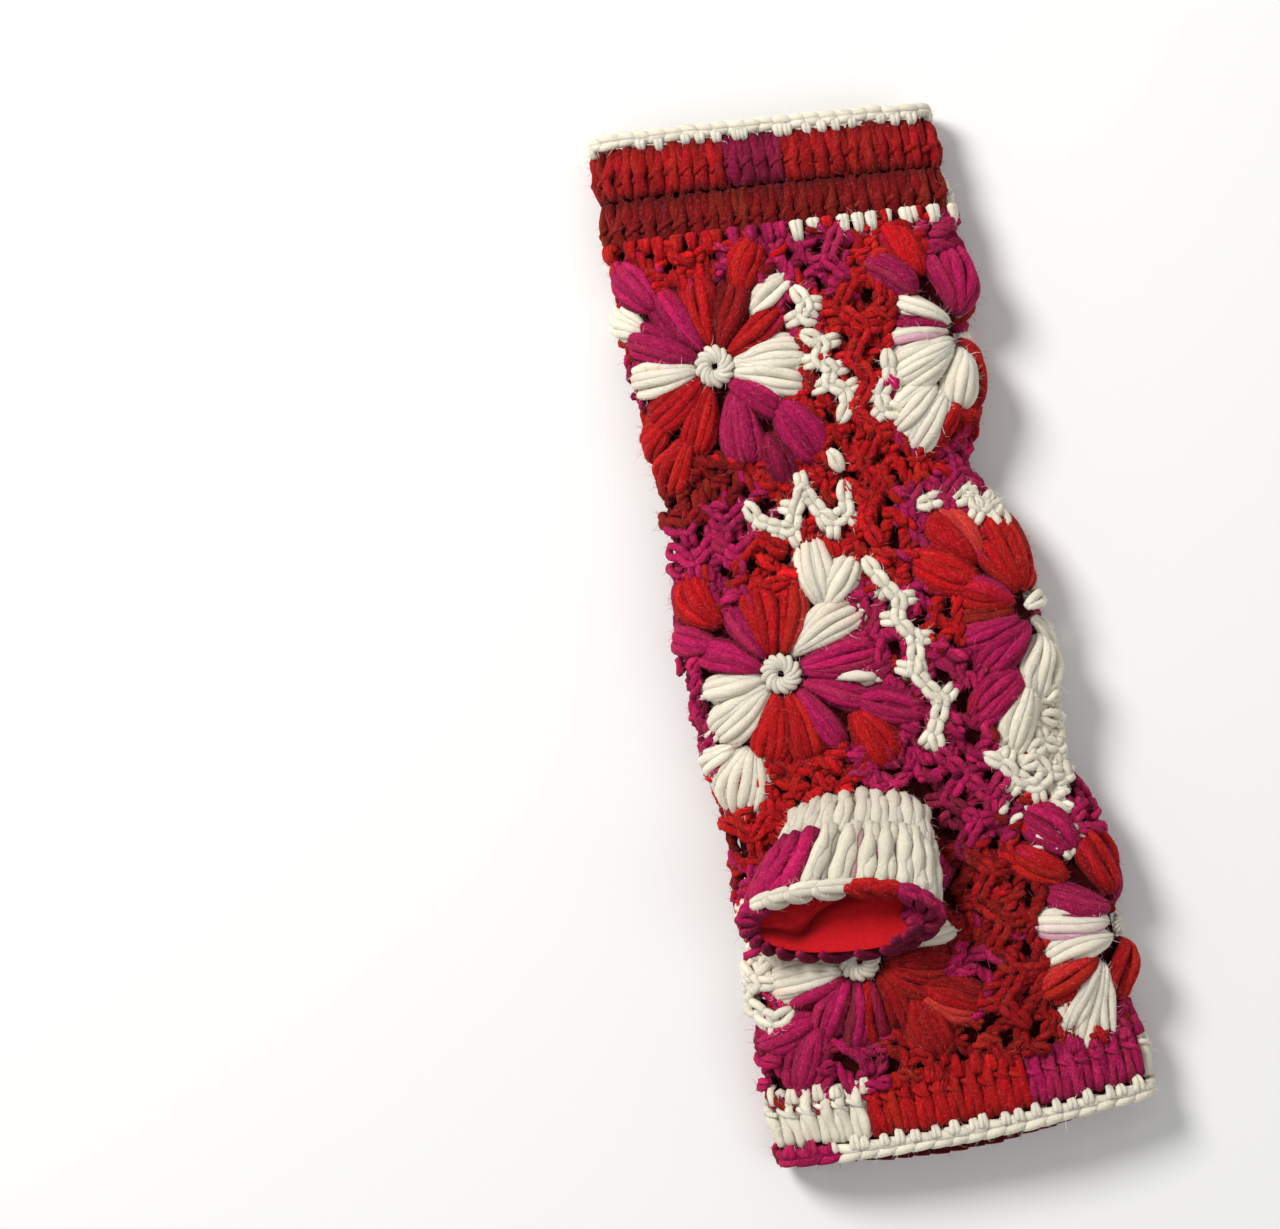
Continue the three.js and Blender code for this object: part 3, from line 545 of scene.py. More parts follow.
def across(codes, share):
    """Colour at a share from 0 to 1 across a puff."""
    cols = np.array([tone(c_) for c_ in codes])
    at = np.clip(share * len(codes) - 0.5, 0, len(codes) - 1)
    i = np.floor(at).astype(int)
    j = np.minimum(i + 1, len(codes) - 1)
    t = smooth(at - i, 0.1, 0.9)[..., None]
    return cols[i] * (1 - t) + cols[j] * t


def puff(batch, cu, cv, row, rich):
    r0, a0, r1, a1, half, codes = row
    fan = codes.endswith("+")
    codes = codes.rstrip("+")
    a0, a1 = math.radians(a0), math.radians(a1)
    base = np.array([r0 * math.cos(a0), r0 * math.sin(a0)])
    tip = np.array([r1 * math.cos(a1), r1 * math.sin(a1)])
    axis = tip - base
    long = np.linalg.norm(axis)
    d = axis / long
    side = np.array([-d[1], d[0]])
    corner = r0 > 11.0
    n, k = (14, 9) if rich else (9, 5)
    count = max(3, int(round(half * 1.34))) if rich else 5
    t = np.linspace(0, 1, n)[None, :]
    gap = 2.9 / max(count - 1, 1)
    half = half * (1.0 if fan else 1.12)
    phi = np.linspace(-1.45, 1.45, count)[:, None] + rng.normal(0, 0.16 * gap, (count, 1))
    foot, shut = (0.34, 0.52) if corner else (0.26, 0.70)
    peak = 0.60 if corner else 0.74
    if fan:
        foot, shut, peak = 0.22, 0.86, 0.84
    rise = np.sin(np.clip(t / peak, 0, 1) * np.pi / 2) ** 0.9
    fall = np.sqrt(np.clip(1 - ((t - peak) / (1 - peak)).clip(0, 1) ** 2 * (1 - shut ** 2), 0, 1))
    wide = half * (foot + (1 - foot) * rise) * fall
    swell = np.sin(np.pi * np.clip(0.10 + 0.84 * t, 0, 1)) ** 0.62
    tall = 3.3 * (0.55 + 0.45 * min(1.0, half / 4.6)) * swell
    fat = (1.50 if rich else 1.45) * (0.80 + 0.20 * min(1.0, half / 4.6))
    thick = fat * (0.58 + 0.48 * np.sin(np.pi * (0.08 + 0.82 * t))) * np.ones_like(phi)
    thick = thick * np.exp(rng.normal(0, 0.10, (count, 1)))
    ph = rng.uniform(0, 2 * np.pi, (3, count, 1))
    thick = thick * (1 + 0.05 * np.sin(t * 11 + ph[0]))
    env = np.sin(np.pi * t) ** 0.7
    lateral = np.sin(phi) * np.maximum(wide - 0.62 * fat, 0.25) + (rng.normal(0, 0.22, (count, 1)) + 0.22 * np.sin(t * 5.5 + ph[1])) * env
    bend = rng.normal(0, 0.6) * np.sin(np.pi * t)
    height = 1.6 + tall * np.maximum(np.cos(phi), -0.1) + (rng.normal(0, 0.26, (count, 1)) + 0.20 * np.sin(t * 6.5 + ph[2])) * env
    # strands plunge at both ends: under the ring or the petal before, and into the closing loop
    height = height - 1.5 * (1 - smooth(t, 0, 0.12)) - (0.9 if fan else 1.7) * smooth(t, 0.88, 1.0)
    s = long * (t + 0.012 * np.sin(t * 9 + phi * 2)) + rng.normal(0, 0.5, (count, 1)) * smooth(t, 0.6, 1.0)
    u = cu + base[0] + d[0] * s + side[0] * (lateral + bend)
    v = cv + base[1] + d[1] * s + side[1] * (lateral + bend)
    p, nrm = body(np.stack([u, v, np.broadcast_to(height, u.shape)], -1))
    share = (0.5 - np.sin(phi) / 2) * np.ones_like(t)
    col = vary(across(codes, share)[:, :1]) + 0 * across(codes, share)
    # a little of another colour runs into the ends of some strands
    if codes in ("R", "M"):
        mixed = tone("M" if codes == "R" else "R")
        amount = (rng.random((count, 1)) < 0.14) * smooth(t, 0.45 + 0.4 * rng.random((count, 1)), 1.15)
        col = col * (1 - amount[..., None] * 0.7) + mixed * amount[..., None] * 0.7
    if codes == "C":
        blush = tone("P") if rng.random() < 0.5 else tone("S")
        amount = (rng.random((count, 1)) < 0.22) * 0.35 * smooth(t, 0.3 + 0.5 * rng.random((count, 1)), 1.2)
        col = col * (1 - amount[..., None]) + blush * amount[..., None]
    # painted shade: strands are darkened towards the bottom of the puff, strongly for red and magenta, slightly for
    # cream
    painted_light_by_height = smooth(height / (1.6 + tall), 0.20, 0.92)[..., None]
    col = col * (1 - (0.06 if codes.startswith("C") else 0.52) * (1 - painted_light_by_height))
    batch.tubes(p, thick, col, k=k, up=nrm[:, 0], hairs=1.0 if rich else 0.3, twist=0.16)
    # the strands that lie inside
    tc = np.linspace(0.06, 0.86, 8)[None, :]
    inner = np.interp(tc[0], t[0], wide[0])[None, :]
    uc = cu + base[0] + d[0] * long * tc + side[0] * np.interp(tc[0], t[0], (bend + 0 * t)[0])[None, :]
    vc = cv + base[1] + d[1] * long * tc + side[1] * np.interp(tc[0], t[0], (bend + 0 * t)[0])[None, :]
    p, nrm = body(np.stack([uc, vc, 1.4 + 0.36 * np.interp(tc[0], t[0], tall[0])[None, :]], -1))
    core = np.maximum(inner * 0.92 - 0.7, 0.5)
    # painted shade: the inner strands take the puff's mean colour darkened to three quarters
    batch.tubes(p, core, col.mean((0, 1)) * 0.75, k=8, up=nrm[:, 0], flat=min(0.5, 1.9 / core.max()), twist=0.16)
    # the small loop that closes the puff
    if rich and rng.random() < 0.45:
        q = np.linspace(0, 1, 6)[None, :]
        spread = rng.normal(0, 0.35)
        for sgn in (-1, 1):
            lat = spread + sgn * (0.75 + 0.2 * np.sin(np.pi * q))
            go = long - 0.9 + (2.6 + rng.normal(0, 0.3)) * q + (0.9 if fan else 0)
            u = cu + base[0] + d[0] * go + side[0] * lat
            v = cv + base[1] + d[1] * go + side[1] * lat
            h = 2.2 + 0.9 * np.sin(np.pi * (0.1 + 0.8 * q)) - 0.9 * q + 0 * go
            p, nrm = body(np.stack([u, v, h], -1))
            batch.tubes(p, 0.9, vary(tone(codes[0]))[None, None, :], k=6, up=nrm[:, 0], hairs=1.0, twist=0.4)


def ring(batch, cu, cv, code, rich, size=1.0, low=0.0):
    a = np.linspace(0, 2 * np.pi, 26)[None, :]
    p, nrm = body(np.stack([cu + 3.2 * size * np.cos(a), cv + 3.2 * size * np.sin(a), np.full_like(a, 3.3 - low)], -1))
    batch.tubes(p, 1.65 * size, tone(code), k=8 if rich else 5, up=nrm[:, 0], hairs=0.4, twist=0.2)
    count = 13
    t = np.linspace(-0.70, 0.70, 11)[None, :] * np.pi + np.pi / 2
    a = (np.arange(count) / count * 2 * np.pi)[:, None] + 0.42 * np.cos(t) + rng.normal(0, 0.04, (count, 1))
    rad = (3.3 + 1.60 * np.cos(t) + rng.normal(0, 0.12, (count, 1))) * size
    h = 3.2 - low + 1.15 * np.sin(t) * size
    u, v = cu + rad * np.cos(a), cv + rad * np.sin(a)
    p, nrm = body(np.stack([u, v, np.broadcast_to(h, u.shape)], -1))
    batch.tubes(p, 0.94 * size, vary(np.tile(tone(code), (count, 1)))[:, None, :], k=7 if rich else 5, up=nrm[:, 0], hairs=1.0 if rich else 0.3, twist=0.8)


# ------------------------------------------------------------------ chain stitches
def stitch_legs(path, pitch, width, height, lift, points=6, jitter=0.12, start=0.0):
    """Legs of the V shaped stitches of a chain along path (n, 2) in the u, v plane: (legs, points, 3) and the leg's place on the path."""
    path = np.asarray(path, float)
    seg = np.linalg.norm(np.diff(path, axis=0), axis=1)
    run = np.r_[0, np.cumsum(seg)]
    count = max(1, int(round(run[-1] / pitch)))
    step = run[-1] / count
    t = np.linspace(0, 1, points)
    s0 = (np.arange(count) + start) * step
    out = []
    for sign in (-1, 1):
        s = s0[:, None] + step * (-0.28 + 1.5 * t)[None, :]
        s = np.clip(s, -step * 0.3, run[-1] + step * 0.3)
        sc = np.clip(s, 0, run[-1])
        x, y = np.interp(sc, run, path[:, 0]), np.interp(sc, run, path[:, 1])
        e = 0.6
        dx = np.interp(np.clip(sc + e, 0, run[-1]), run, path[:, 0]) - np.interp(np.clip(sc - e, 0, run[-1]), run, path[:, 0])
        dy = np.interp(np.clip(sc + e, 0, run[-1]), run, path[:, 1]) - np.interp(np.clip(sc - e, 0, run[-1]), run, path[:, 1])
        size = np.hypot(dx, dy) + 1e-9
        dx, dy = dx / size, dy / size
        over = s - sc
        b = sign * width * (0.05 + 0.27 * np.sin(np.pi * t) ** 0.8)[None, :] + rng.normal(0, jitter, (count, 1))
        h = height + lift * (-0.35 + 1.0 * np.sin(np.pi * (0.12 + 0.80 * t)))[None, :] + rng.normal(0, jitter, (count, 1))
        out.append(np.stack([x + dx * over - dy * b, y + dy * over + dx * b, np.broadcast_to(h, x.shape)], -1))
    return np.concatenate(out)


class Legs:
    """Stitch legs gathered for one batch, coloured by where they lie."""

    def __init__(self, surface, colour_of):
        self.surface, self.colour_of, self.items = surface, colour_of, []

    def add(self, legs, radius, colour=None):
        self.items.append((legs, radius, colour))

    def into(self, batch, k=6, hairs=1.0):
        groups = {}
        for legs, radius, colour in self.items:
            groups.setdefault((legs.shape[1], radius), []).append((legs, colour))
        for (points, radius), parts in groups.items():
            legs = np.concatenate([a for a, _ in parts])
            p, nrm = self.surface(legs)
            auto = self.colour_of(legs[:, points // 2], p[:, points // 2])
            at = 0
            for a, colour in parts:
                if colour is not None:
                    auto[at:at + len(a)] = tone(colour)
                at += len(a)
            auto = vary(auto)
            prof = radius * (0.80 + 0.24 * np.sin(np.pi * np.linspace(0.05, 0.95, points)))
            batch.tubes(p, prof[None, :] * np.ones((len(legs), 1)), auto[:, None, :], k=k, up=nrm[:, 0], hairs=hairs, twist=0.8)


# colours of the mesh on the front, as places in the part's plane: X, Y, reach, colour
MESH_SEEDS = [
    (-8, 92, 8, "M"), (2, 88, 7, "R"), (14, 84, 7, "R"), (6, 96, 7, "M"), (10, 76, 9, "R"), (8, 62, 9, "R"), (12, 50, 9, "R"),
    (16, 94, 6, "R"), (26, 98, 6, "R"), (38, 96, 6, "M"), (2, 78, 4, "R"), (18, 60, 5, "M"), (20, 42, 6, "R"),
    (30, 34, 6, "M"), (40, 32, 6, "M"), (10, 36, 8, "R"), (-2, 40, 6, "R"), (-16, 44, 8, "R"), (-34, 46, 8, "D"), (-44, 40, 8, "D"),
    (-36, 30, 9, "M"), (-46, 26, 8, "M"), (-24, 32, 6, "M"), (-22, 24, 8, "R"), (-6, 24, 7, "R"), (8, 26, 8, "R"), (18, 28, 7, "M"),
    (-48, 8, 7, "M"), (-50, -8, 8, "M"), (-50, -26, 8, "M"), (-49, -40, 8, "R"), (-44, -50, 8, "R"), (-38, -42, 6, "R"),
    (8, 14, 5, "R"), (18, 10, 7, "M"), (2, 0, 7, "M"), (20, -4, 6, "R"), (4, -12, 6, "M"), (16, -16, 7, "M"), (22, -26, 7, "M"),
    (2, -26, 7, "M"), (-6, -42, 7, "M"), (8, -44, 7, "M"), (-20, -42, 8, "R"), (16, -44, 9, "M"), (28, -46, 5, "M"), (38, -47, 9, "C"),
    # N at (10, -56) and D at (8, -70), just right of the thumb, are dark tones that paint shade in the recess beside it
    (48, -48, 6, "C"), (50, -56, 6, "M"), (10, -56, 8, "N"), (18, -60, 6, "M"), (8, -70, 8, "D"), (20, -74, 7, "K"), (14, -84, 8, "K"),
    (22, -92, 8, "K"), (12, -96, 6, "M"), (16, -104, 8, "K"), (26, -106, 7, "K"), (20, -116, 7, "K"), (4, -112, 7, "K"), (-10, -112, 7, "K"),
    (-20, -114, 6, "M"), (-34, -116, 6, "M"), (-48, -112, 7, "M"), (-50, -98, 7, "M"), (-46, -86, 6, "C"), (-44, -76, 6, "R"),
    (36, -118, 6, "K"), (48, -118, 6, "M"), (50, -104, 6, "M"), (44, 12, 6, "R"), (46, 24, 5, "M"), (44, 50, 7, "R"), (42, 62, 6, "R"),
    (-48, 60, 8, "R"), (-48, 76, 8, "M"), (-46, 94, 8, "R"), (-30, 98, 8, "R"), (-18, 96, 7, "M"), (-44, -62, 6, "M")]
SEEDS = np.array([(a, b, c_) for a, b, c_, _ in MESH_SEEDS], float)
SEED_TONES = np.array([tone(d) for *_, d in MESH_SEEDS])
back_rng = np.random.default_rng(5)
BACK_SEEDS = np.stack([back_rng.uniform(-52, 52, 46), back_rng.uniform(-125, 110, 46)], -1)
BACK_TONES = np.array([tone(c_) for c_ in back_rng.choice(list("RRRRMMMNDC"), 46)])


def mesh_colour(uvh, p):
    """Colour of the mesh where a stitch lies."""
    xy = p[:, :2] + rng.normal(0, 1.6, (len(p), 2))
    d = np.hypot(xy[:, None, 0] - SEEDS[None, :, 0], xy[:, None, 1] - SEEDS[None, :, 1]) / SEEDS[None, :, 2]
    front = SEED_TONES[d.argmin(1)]
    d = np.hypot(xy[:, None, 0] - BACK_SEEDS[None, :, 0], xy[:, None, 1] - BACK_SEEDS[None, :, 1])
    rear = BACK_TONES[d.argmin(1)]
    w = uvh[:, 0] / ROUND
    w = w - np.round(w)
    return np.where((np.abs(w) < 0.27)[:, None], front, rear)


centres = {name: (f[0] * ROUND, f[1]) for name, f in FLOWERS.items()}


def inside_flower(u, v, grow=0.0):
    """True under a flower: within its petals or one of its corner puffs."""
    hit = np.zeros(np.shape(u), bool)
    for cu, cv in centres.values():
        du = u - cu
        du = du - np.round(du / ROUND) * ROUND
        dv = v - cv
        a = math.radians(5)
        x, y = du * math.cos(a) + dv * math.sin(a), -du * math.sin(a) + dv * math.cos(a)
        hit |= (np.abs(x) < 23.5 + grow) & (np.abs(y) < 23.5 + grow)
    return hit


def in_root(p):
    return ((p[..., 0] - ROOT[0]) / ROOT[2]) ** 2 + ((p[..., 1] - ROOT[1]) / ROOT[3]) ** 2 < 1


def ropes(batch, a, b, height, radius, surface=body, colour_of=mesh_colour, k=5, n=7, reach=0.95, hairs=1.0, mix=0.05, slack=0.8):
    """Two strands that wind round each other from a to b: what a worked chain looks like from a little way off."""
    a, b = np.asarray(a, float), np.asarray(b, float)
    m = len(a)
    t = np.linspace(-0.10, 1.10, n)[None, :]
    d = b - a
    long = np.linalg.norm(d, axis=1)[:, None]
    d = d / (long + 1e-9)
    side = np.stack([-d[:, 1], d[:, 0]], -1)
    phase = rng.uniform(0, 2 * np.pi, (m, 1))
    bow = rng.normal(0, slack, (m, 1)) * np.sin(np.pi * np.clip(t, 0, 1))
    hump = rng.normal(0, 0.25, (m, 1))
    for half_turn in (0, np.pi):
        w = phase + half_turn + 2 * np.pi * t * long / 7.4
        lat = bow + reach * np.cos(w)
        h = np.reshape(height, (-1, 1)) + hump * np.sin(np.pi * np.clip(t, 0, 1)) + 0.62 * reach * np.sin(w) + rng.normal(0, 0.12, (m, n))
        go = t * long
        uvh = np.stack([a[:, :1] + d[:, :1] * go + side[:, :1] * lat, a[:, 1:] + d[:, 1:] * go + side[:, 1:] * lat, h], -1)
        p, nrm = surface(uvh)
        col = colour_of(uvh[:, n // 2], p[:, n // 2])
        odd = rng.random(m) < mix
        col[odd] = PALETTE[rng.choice([0, 2, 1], odd.sum())]
        r = radius * (0.92 + 0.16 * np.sin(np.pi * (np.arange(n) / (n - 1)))) * np.exp(rng.normal(0, 0.09, (m, 1)))
        # painted shade: the parts of each rope that lie low in the mesh are darkened, strongly for red and magenta,
        # slightly for cream
        low_down = 1 - smooth(h + 0 * go, 0.9, 3.0)[..., None]
        shade = np.where(col.min(-1) > 0.3, 0.2, 0.55)[:, None, None]
        batch.tubes(p, r, vary(col, 0.2)[:, None, :] * (1 - shade * low_down), k=k, up=nrm[:, 0], hairs=hairs, twist=0.5)


def wrap_u(a, b):
    b = b.copy()
    b[..., 0] += np.round((a[..., 0] - b[..., 0]) / ROUND) * ROUND
    return b


columns, rows_at = 24, np.linspace(106.4, -120.6, 46)
grid = np.zeros((len(rows_at), columns, 2))
for j, v0 in enumerate(rows_at):
    grid[j, :, 0] = (np.arange(columns) + 0.5 * (j % 2)) * ROUND / columns
    grid[j, :, 1] = v0
grid += rng.normal(0, 1.25, grid.shape)
starts, ends = [], []
for j in range(len(rows_at) - 1):
    for step in ((0, 1) if j % 2 else (-1, 0)):
        starts.append(grid[j])
        ends.append(np.roll(grid[j + 1], -step, axis=0))
starts, ends = np.concatenate(starts), np.concatenate(ends)
ends = wrap_u(starts, ends)
mid = (starts + ends) / 2
pm, _ = body(np.concatenate([mid, np.full((len(mid), 1), 2.0)], 1))
wm = mid[:, 0] / ROUND
front_half = np.abs(wm - np.round(wm)) < 0.272
beside = (pm[:, 0] > 1.5) & (pm[:, 0] < 9.5) & (pm[:, 1] < -45) & (pm[:, 1] > -80) & front_half
keep = (~beside | (rng.random(len(mid)) < 0.35)) & ~inside_flower(mid[:, 0], mid[:, 1], -1.0) & ~(in_root(pm) & front_half) & (rng.random(len(mid)) > 0.04)
lift = 2.1 - 0.9 * beside + 0.5 * np.sin(mid[:, 0] * 0.21 + 1.3) * np.sin(mid[:, 1] * 0.17) + rng.normal(0, 0.3, len(mid))
mesh_front, mesh_back = Batch(), Batch()
sel = keep & front_half
ropes(mesh_front, starts[sel], ends[sel], lift[sel], 1.18, k=6, n=7, reach=1.05, slack=1.0)
sel = keep & ~front_half
ropes(mesh_back, starts[sel], ends[sel], lift[sel], 1.20, k=4, n=6, hairs=0.35)
# the knot at each crossing: a short thick stitch across it
nodes_at = grid.reshape(-1, 2)
pm, _ = body(np.concatenate([nodes_at, np.full((len(nodes_at), 1), 2.0)], 1))
wn = nodes_at[:, 0] / ROUND
ok = ~((pm[:, 0] > 1.5) & (pm[:, 0] < 9.0) & (pm[:, 1] < -45) & (pm[:, 1] > -80)) & ~inside_flower(nodes_at[:, 0], nodes_at[:, 1], 0.0) & ~in_root(pm) & (np.abs(wn - np.round(wn)) < 0.272) & (rng.random(len(wn)) < 0.95)
k_at = nodes_at[ok]
ang = rng.normal(0, 0.5, len(k_at)) + rng.choice([0.5, 2.6], len(k_at))
off = np.stack([np.cos(ang), np.sin(ang)], -1) * rng.uniform(1.3, 2.2, (len(k_at), 1))
ropes(mesh_front, k_at - off * 1.3, k_at + off * 1.3, 3.2 + rng.normal(0, 0.5, len(k_at)), 1.05, k=5, n=6, reach=0.95, slack=0.5, mix=0.12)

# the round of stitches that holds the puff ends
contour = Batch()
for name, (w, y, ring_code, rows) in FLOWERS.items():
    cu, cv = w * ROUND, y
    tips = sorted((math.radians(r[3]) % (2 * math.pi), r[2]) for r in rows if r[2] > 19.5)
    pts = np.array([(cu + (r + 1.3) * math.cos(a), cv + (r + 1.3) * math.sin(a)) for a, r in tips])
    nxt = np.roll(pts, -1, axis=0)
    a_, b_ = [], []
    for q0, q1 in zip(pts, nxt):
        pieces = max(1, int(round(np.linalg.norm(q1 - q0) / 6.5)))
        for i in range(pieces):
            a_.append(q0 + (q1 - q0) * i / pieces)
            b_.append(q0 + (q1 - q0) * (i + 1) / pieces)
    rich = not name.startswith("flower_back")
    ropes(contour, a_, b_, np.full(len(a_), 2.4) + rng.normal(0, 0.4, len(a_)), 1.12, k=5 if rich else 4, n=7 if rich else 5,
          hairs=1.0 if rich else 0.4, slack=0.6)

# join cords: zigzags that stand proud on the mesh, with a short double loop at each turn
JOINS = [  # colour (or None: as the mesh), points (X, Y) of the part's plane
    ("C", [(1.6, 15.4), (4.6, 9.3), (8.1, 4.1), (6.7, -1.0), (10.5, -6.9), (9.5, -12.1), (8.2, -15.6), (12.1, -21.8), (14.7, -24.6), (10.4, -32.8), (10.6, -37.0)]),
    ("C", [(-27.0, 36.0), (-24.5, 31.5), (-20.5, 29.4), (-16.5, 27.6), (-14.5, 33.0), (-11.5, 38.0), (-8.0, 31.0), (-5.0, 28.0), (-1.0, 29.5), (-0.5, 37.0)]),
    (None, [(10.5, 104.0), (6.5, 97.0), (12.0, 91.0), (7.0, 84.0), (13.0, 77.0), (8.0, 70.0), (12.0, 63.0), (6.0, 56.0), (11.0, 49.0), (5.5, 42.0), (9.0, 35.0), (3.0, 27.0), (5.5, 20.0)]),
    (None, [(-49.0, 38.0), (-44.0, 33.0), (-39.0, 38.0), (-34.0, 32.0), (-28.0, 36.0)]),
    (None, [(-49.0, 29.0), (-43.5, 24.0), (-37.5, 29.0), (-32.0, 23.5), (-26.0, 28.0), (-20.0, 23.0)]),
    (None, [(0.5, 37.0), (5.0, 31.0), (10.0, 36.0), (15.0, 29.0), (20.5, 35.0), (26.0, 29.0), (31.0, 34.5), (37.0, 28.5)]),
    (None, [(11.0, -38.0), (16.5, -45.0), (10.5, -51.0), (17.5, -58.0), (11.5, -65.0), (18.5, -72.0), (13.0, -79.0), (20.0, -86.0), (14.0, -93.0), (20.5, -100.0), (14.5, -107.0), (20.0, -114.0)]),
    ("C", [(23.7, -42.0), (27.6, -45.0), (30.6, -49.4), (34.9, -52.4), (38.8, -49.4), (36.4, -45.0), (32.9, -46.0)]),
    ("C", [(41.2, -34.4), (45.6, -36.9), (46.8, -42.1), (42.7, -43.5), (39.3, -41.2), (35.7, -42.7)]),
    (None, [(-47.5, -46.0), (-42.0, -51.5), (-37.0, -46.0), (-32.0, -52.0)]),
    (None, [(17.5, -47.0), (22.0, -52.5), (27.0, -47.5)]),
    ("C", [(-3.1, 90.3), (-1.1, 86.6), (-3.0, 83.6), (0.2, 81.9)]),
    ("C", [(-3.0, 78.1), (1.4, 75.1), (-0.8, 71.1), (2.2, 67.8), (0.4, 64.3), (4.6, 61.8), (4.7, 58.0), (2.4, 54.6)]),
    ("C", [(17.3, 69.0), (16.9, 62.7), (13.7, 59.0), (14.0, 55.0), (17.5, 53.3)]),
    ("C", [(-2.2, 45.5), (-0.7, 41.9)]),
    ("C", [(18.6, 28.0), (24.3, 28.6)]),
    ("C", [(28.3, 26.9), (32.6, 28.9), (33.8, 23.7), (38.4, 27.7), (36.2, 22.1)]),
    ("C", [(38.2, 22.3), (40.2, 18.6)]),
    ("C", [(43.2, -4.0), (46.4, -1.9)]),
    ("C", [(-51.7, -85.1), (-49.4, -90.0), (-51.5, -93.9), (-48.8, -98.3), (-45.5, -101.2), (-41.8, -99.1)]),
]
front_w = np.linspace(-0.3, 0.3, 1201)


def to_plane(x, y, h=4.0):
    """The u, v of a point seen from above, on the upper side."""
    v = y
    for _ in range(5):
        p, _ = body(np.stack([front_w * ROUND, np.full_like(front_w, v), np.full_like(front_w, h)], -1))
        lo, hi = p[:, 0].argmin(), p[:, 0].argmax()
        w = np.interp(x, p[lo:hi + 1, 0], front_w[lo:hi + 1])
        q, _ = body(np.array([w * ROUND, v, h]))
        v += y - q[1]
    return w * ROUND, v


cords = Batch()
cord_legs = Legs(body, mesh_colour)
for colour, pts in JOINS:
    uv = np.array([to_plane(*q) for q in pts])
    path = [uv[0]]
    for a, b in zip(uv[:-1], uv[1:]):
        for q in np.linspace(0, 1, 5)[1:]:
            path.append(a * (1 - q) + b * q)
    cord_legs.add(stitch_legs(np.array(path), 3.9, 4.1, 4.1, 1.4, points=7, jitter=0.14), 1.15, colour)
    for i in range(1, len(uv) - 1):
        a, b, c_ = uv[i - 1], uv[i], uv[i + 1]
        out = b - (a + c_) / 2
        out = out / (np.linalg.norm(out) + 1e-9)
        tail = b + out * 5.4
        turn = np.array([-out[1], out[0]])
        for sgn in (-1, 1):
            q = np.linspace(0, 1, 7)[:, None]
            leg = b[None] - out[None] * 0.6 + (tail - b)[None] * q + turn[None] * sgn * (0.95 + 0.1 * np.sin(np.pi * q))
            leg = np.concatenate([leg, (4.0 + 0.5 * np.sin(np.pi * q) - 2.2 * smooth(q, 0.75, 1.0))], 1)
            cord_legs.add(leg[None], 1.12, colour)
cord_legs.into(cords, k=7, hairs=1.0)

flower_batches = {}
for name, (w, y, ring_code, rows) in FLOWERS.items():
    b_ = Batch()
    rich = not name.startswith("flower_back")
    for row in rows:
        puff(b_, w * ROUND, y, row, rich)
    aside = name.startswith("flower_side")
    if name not in ("flower_side_1", "flower_side_2"):
        ring(b_, w * ROUND, y, ring_code, rich, 0.52 if aside else 1.0, 1.3 if aside else 0.0)
    flower_batches[name] = b_


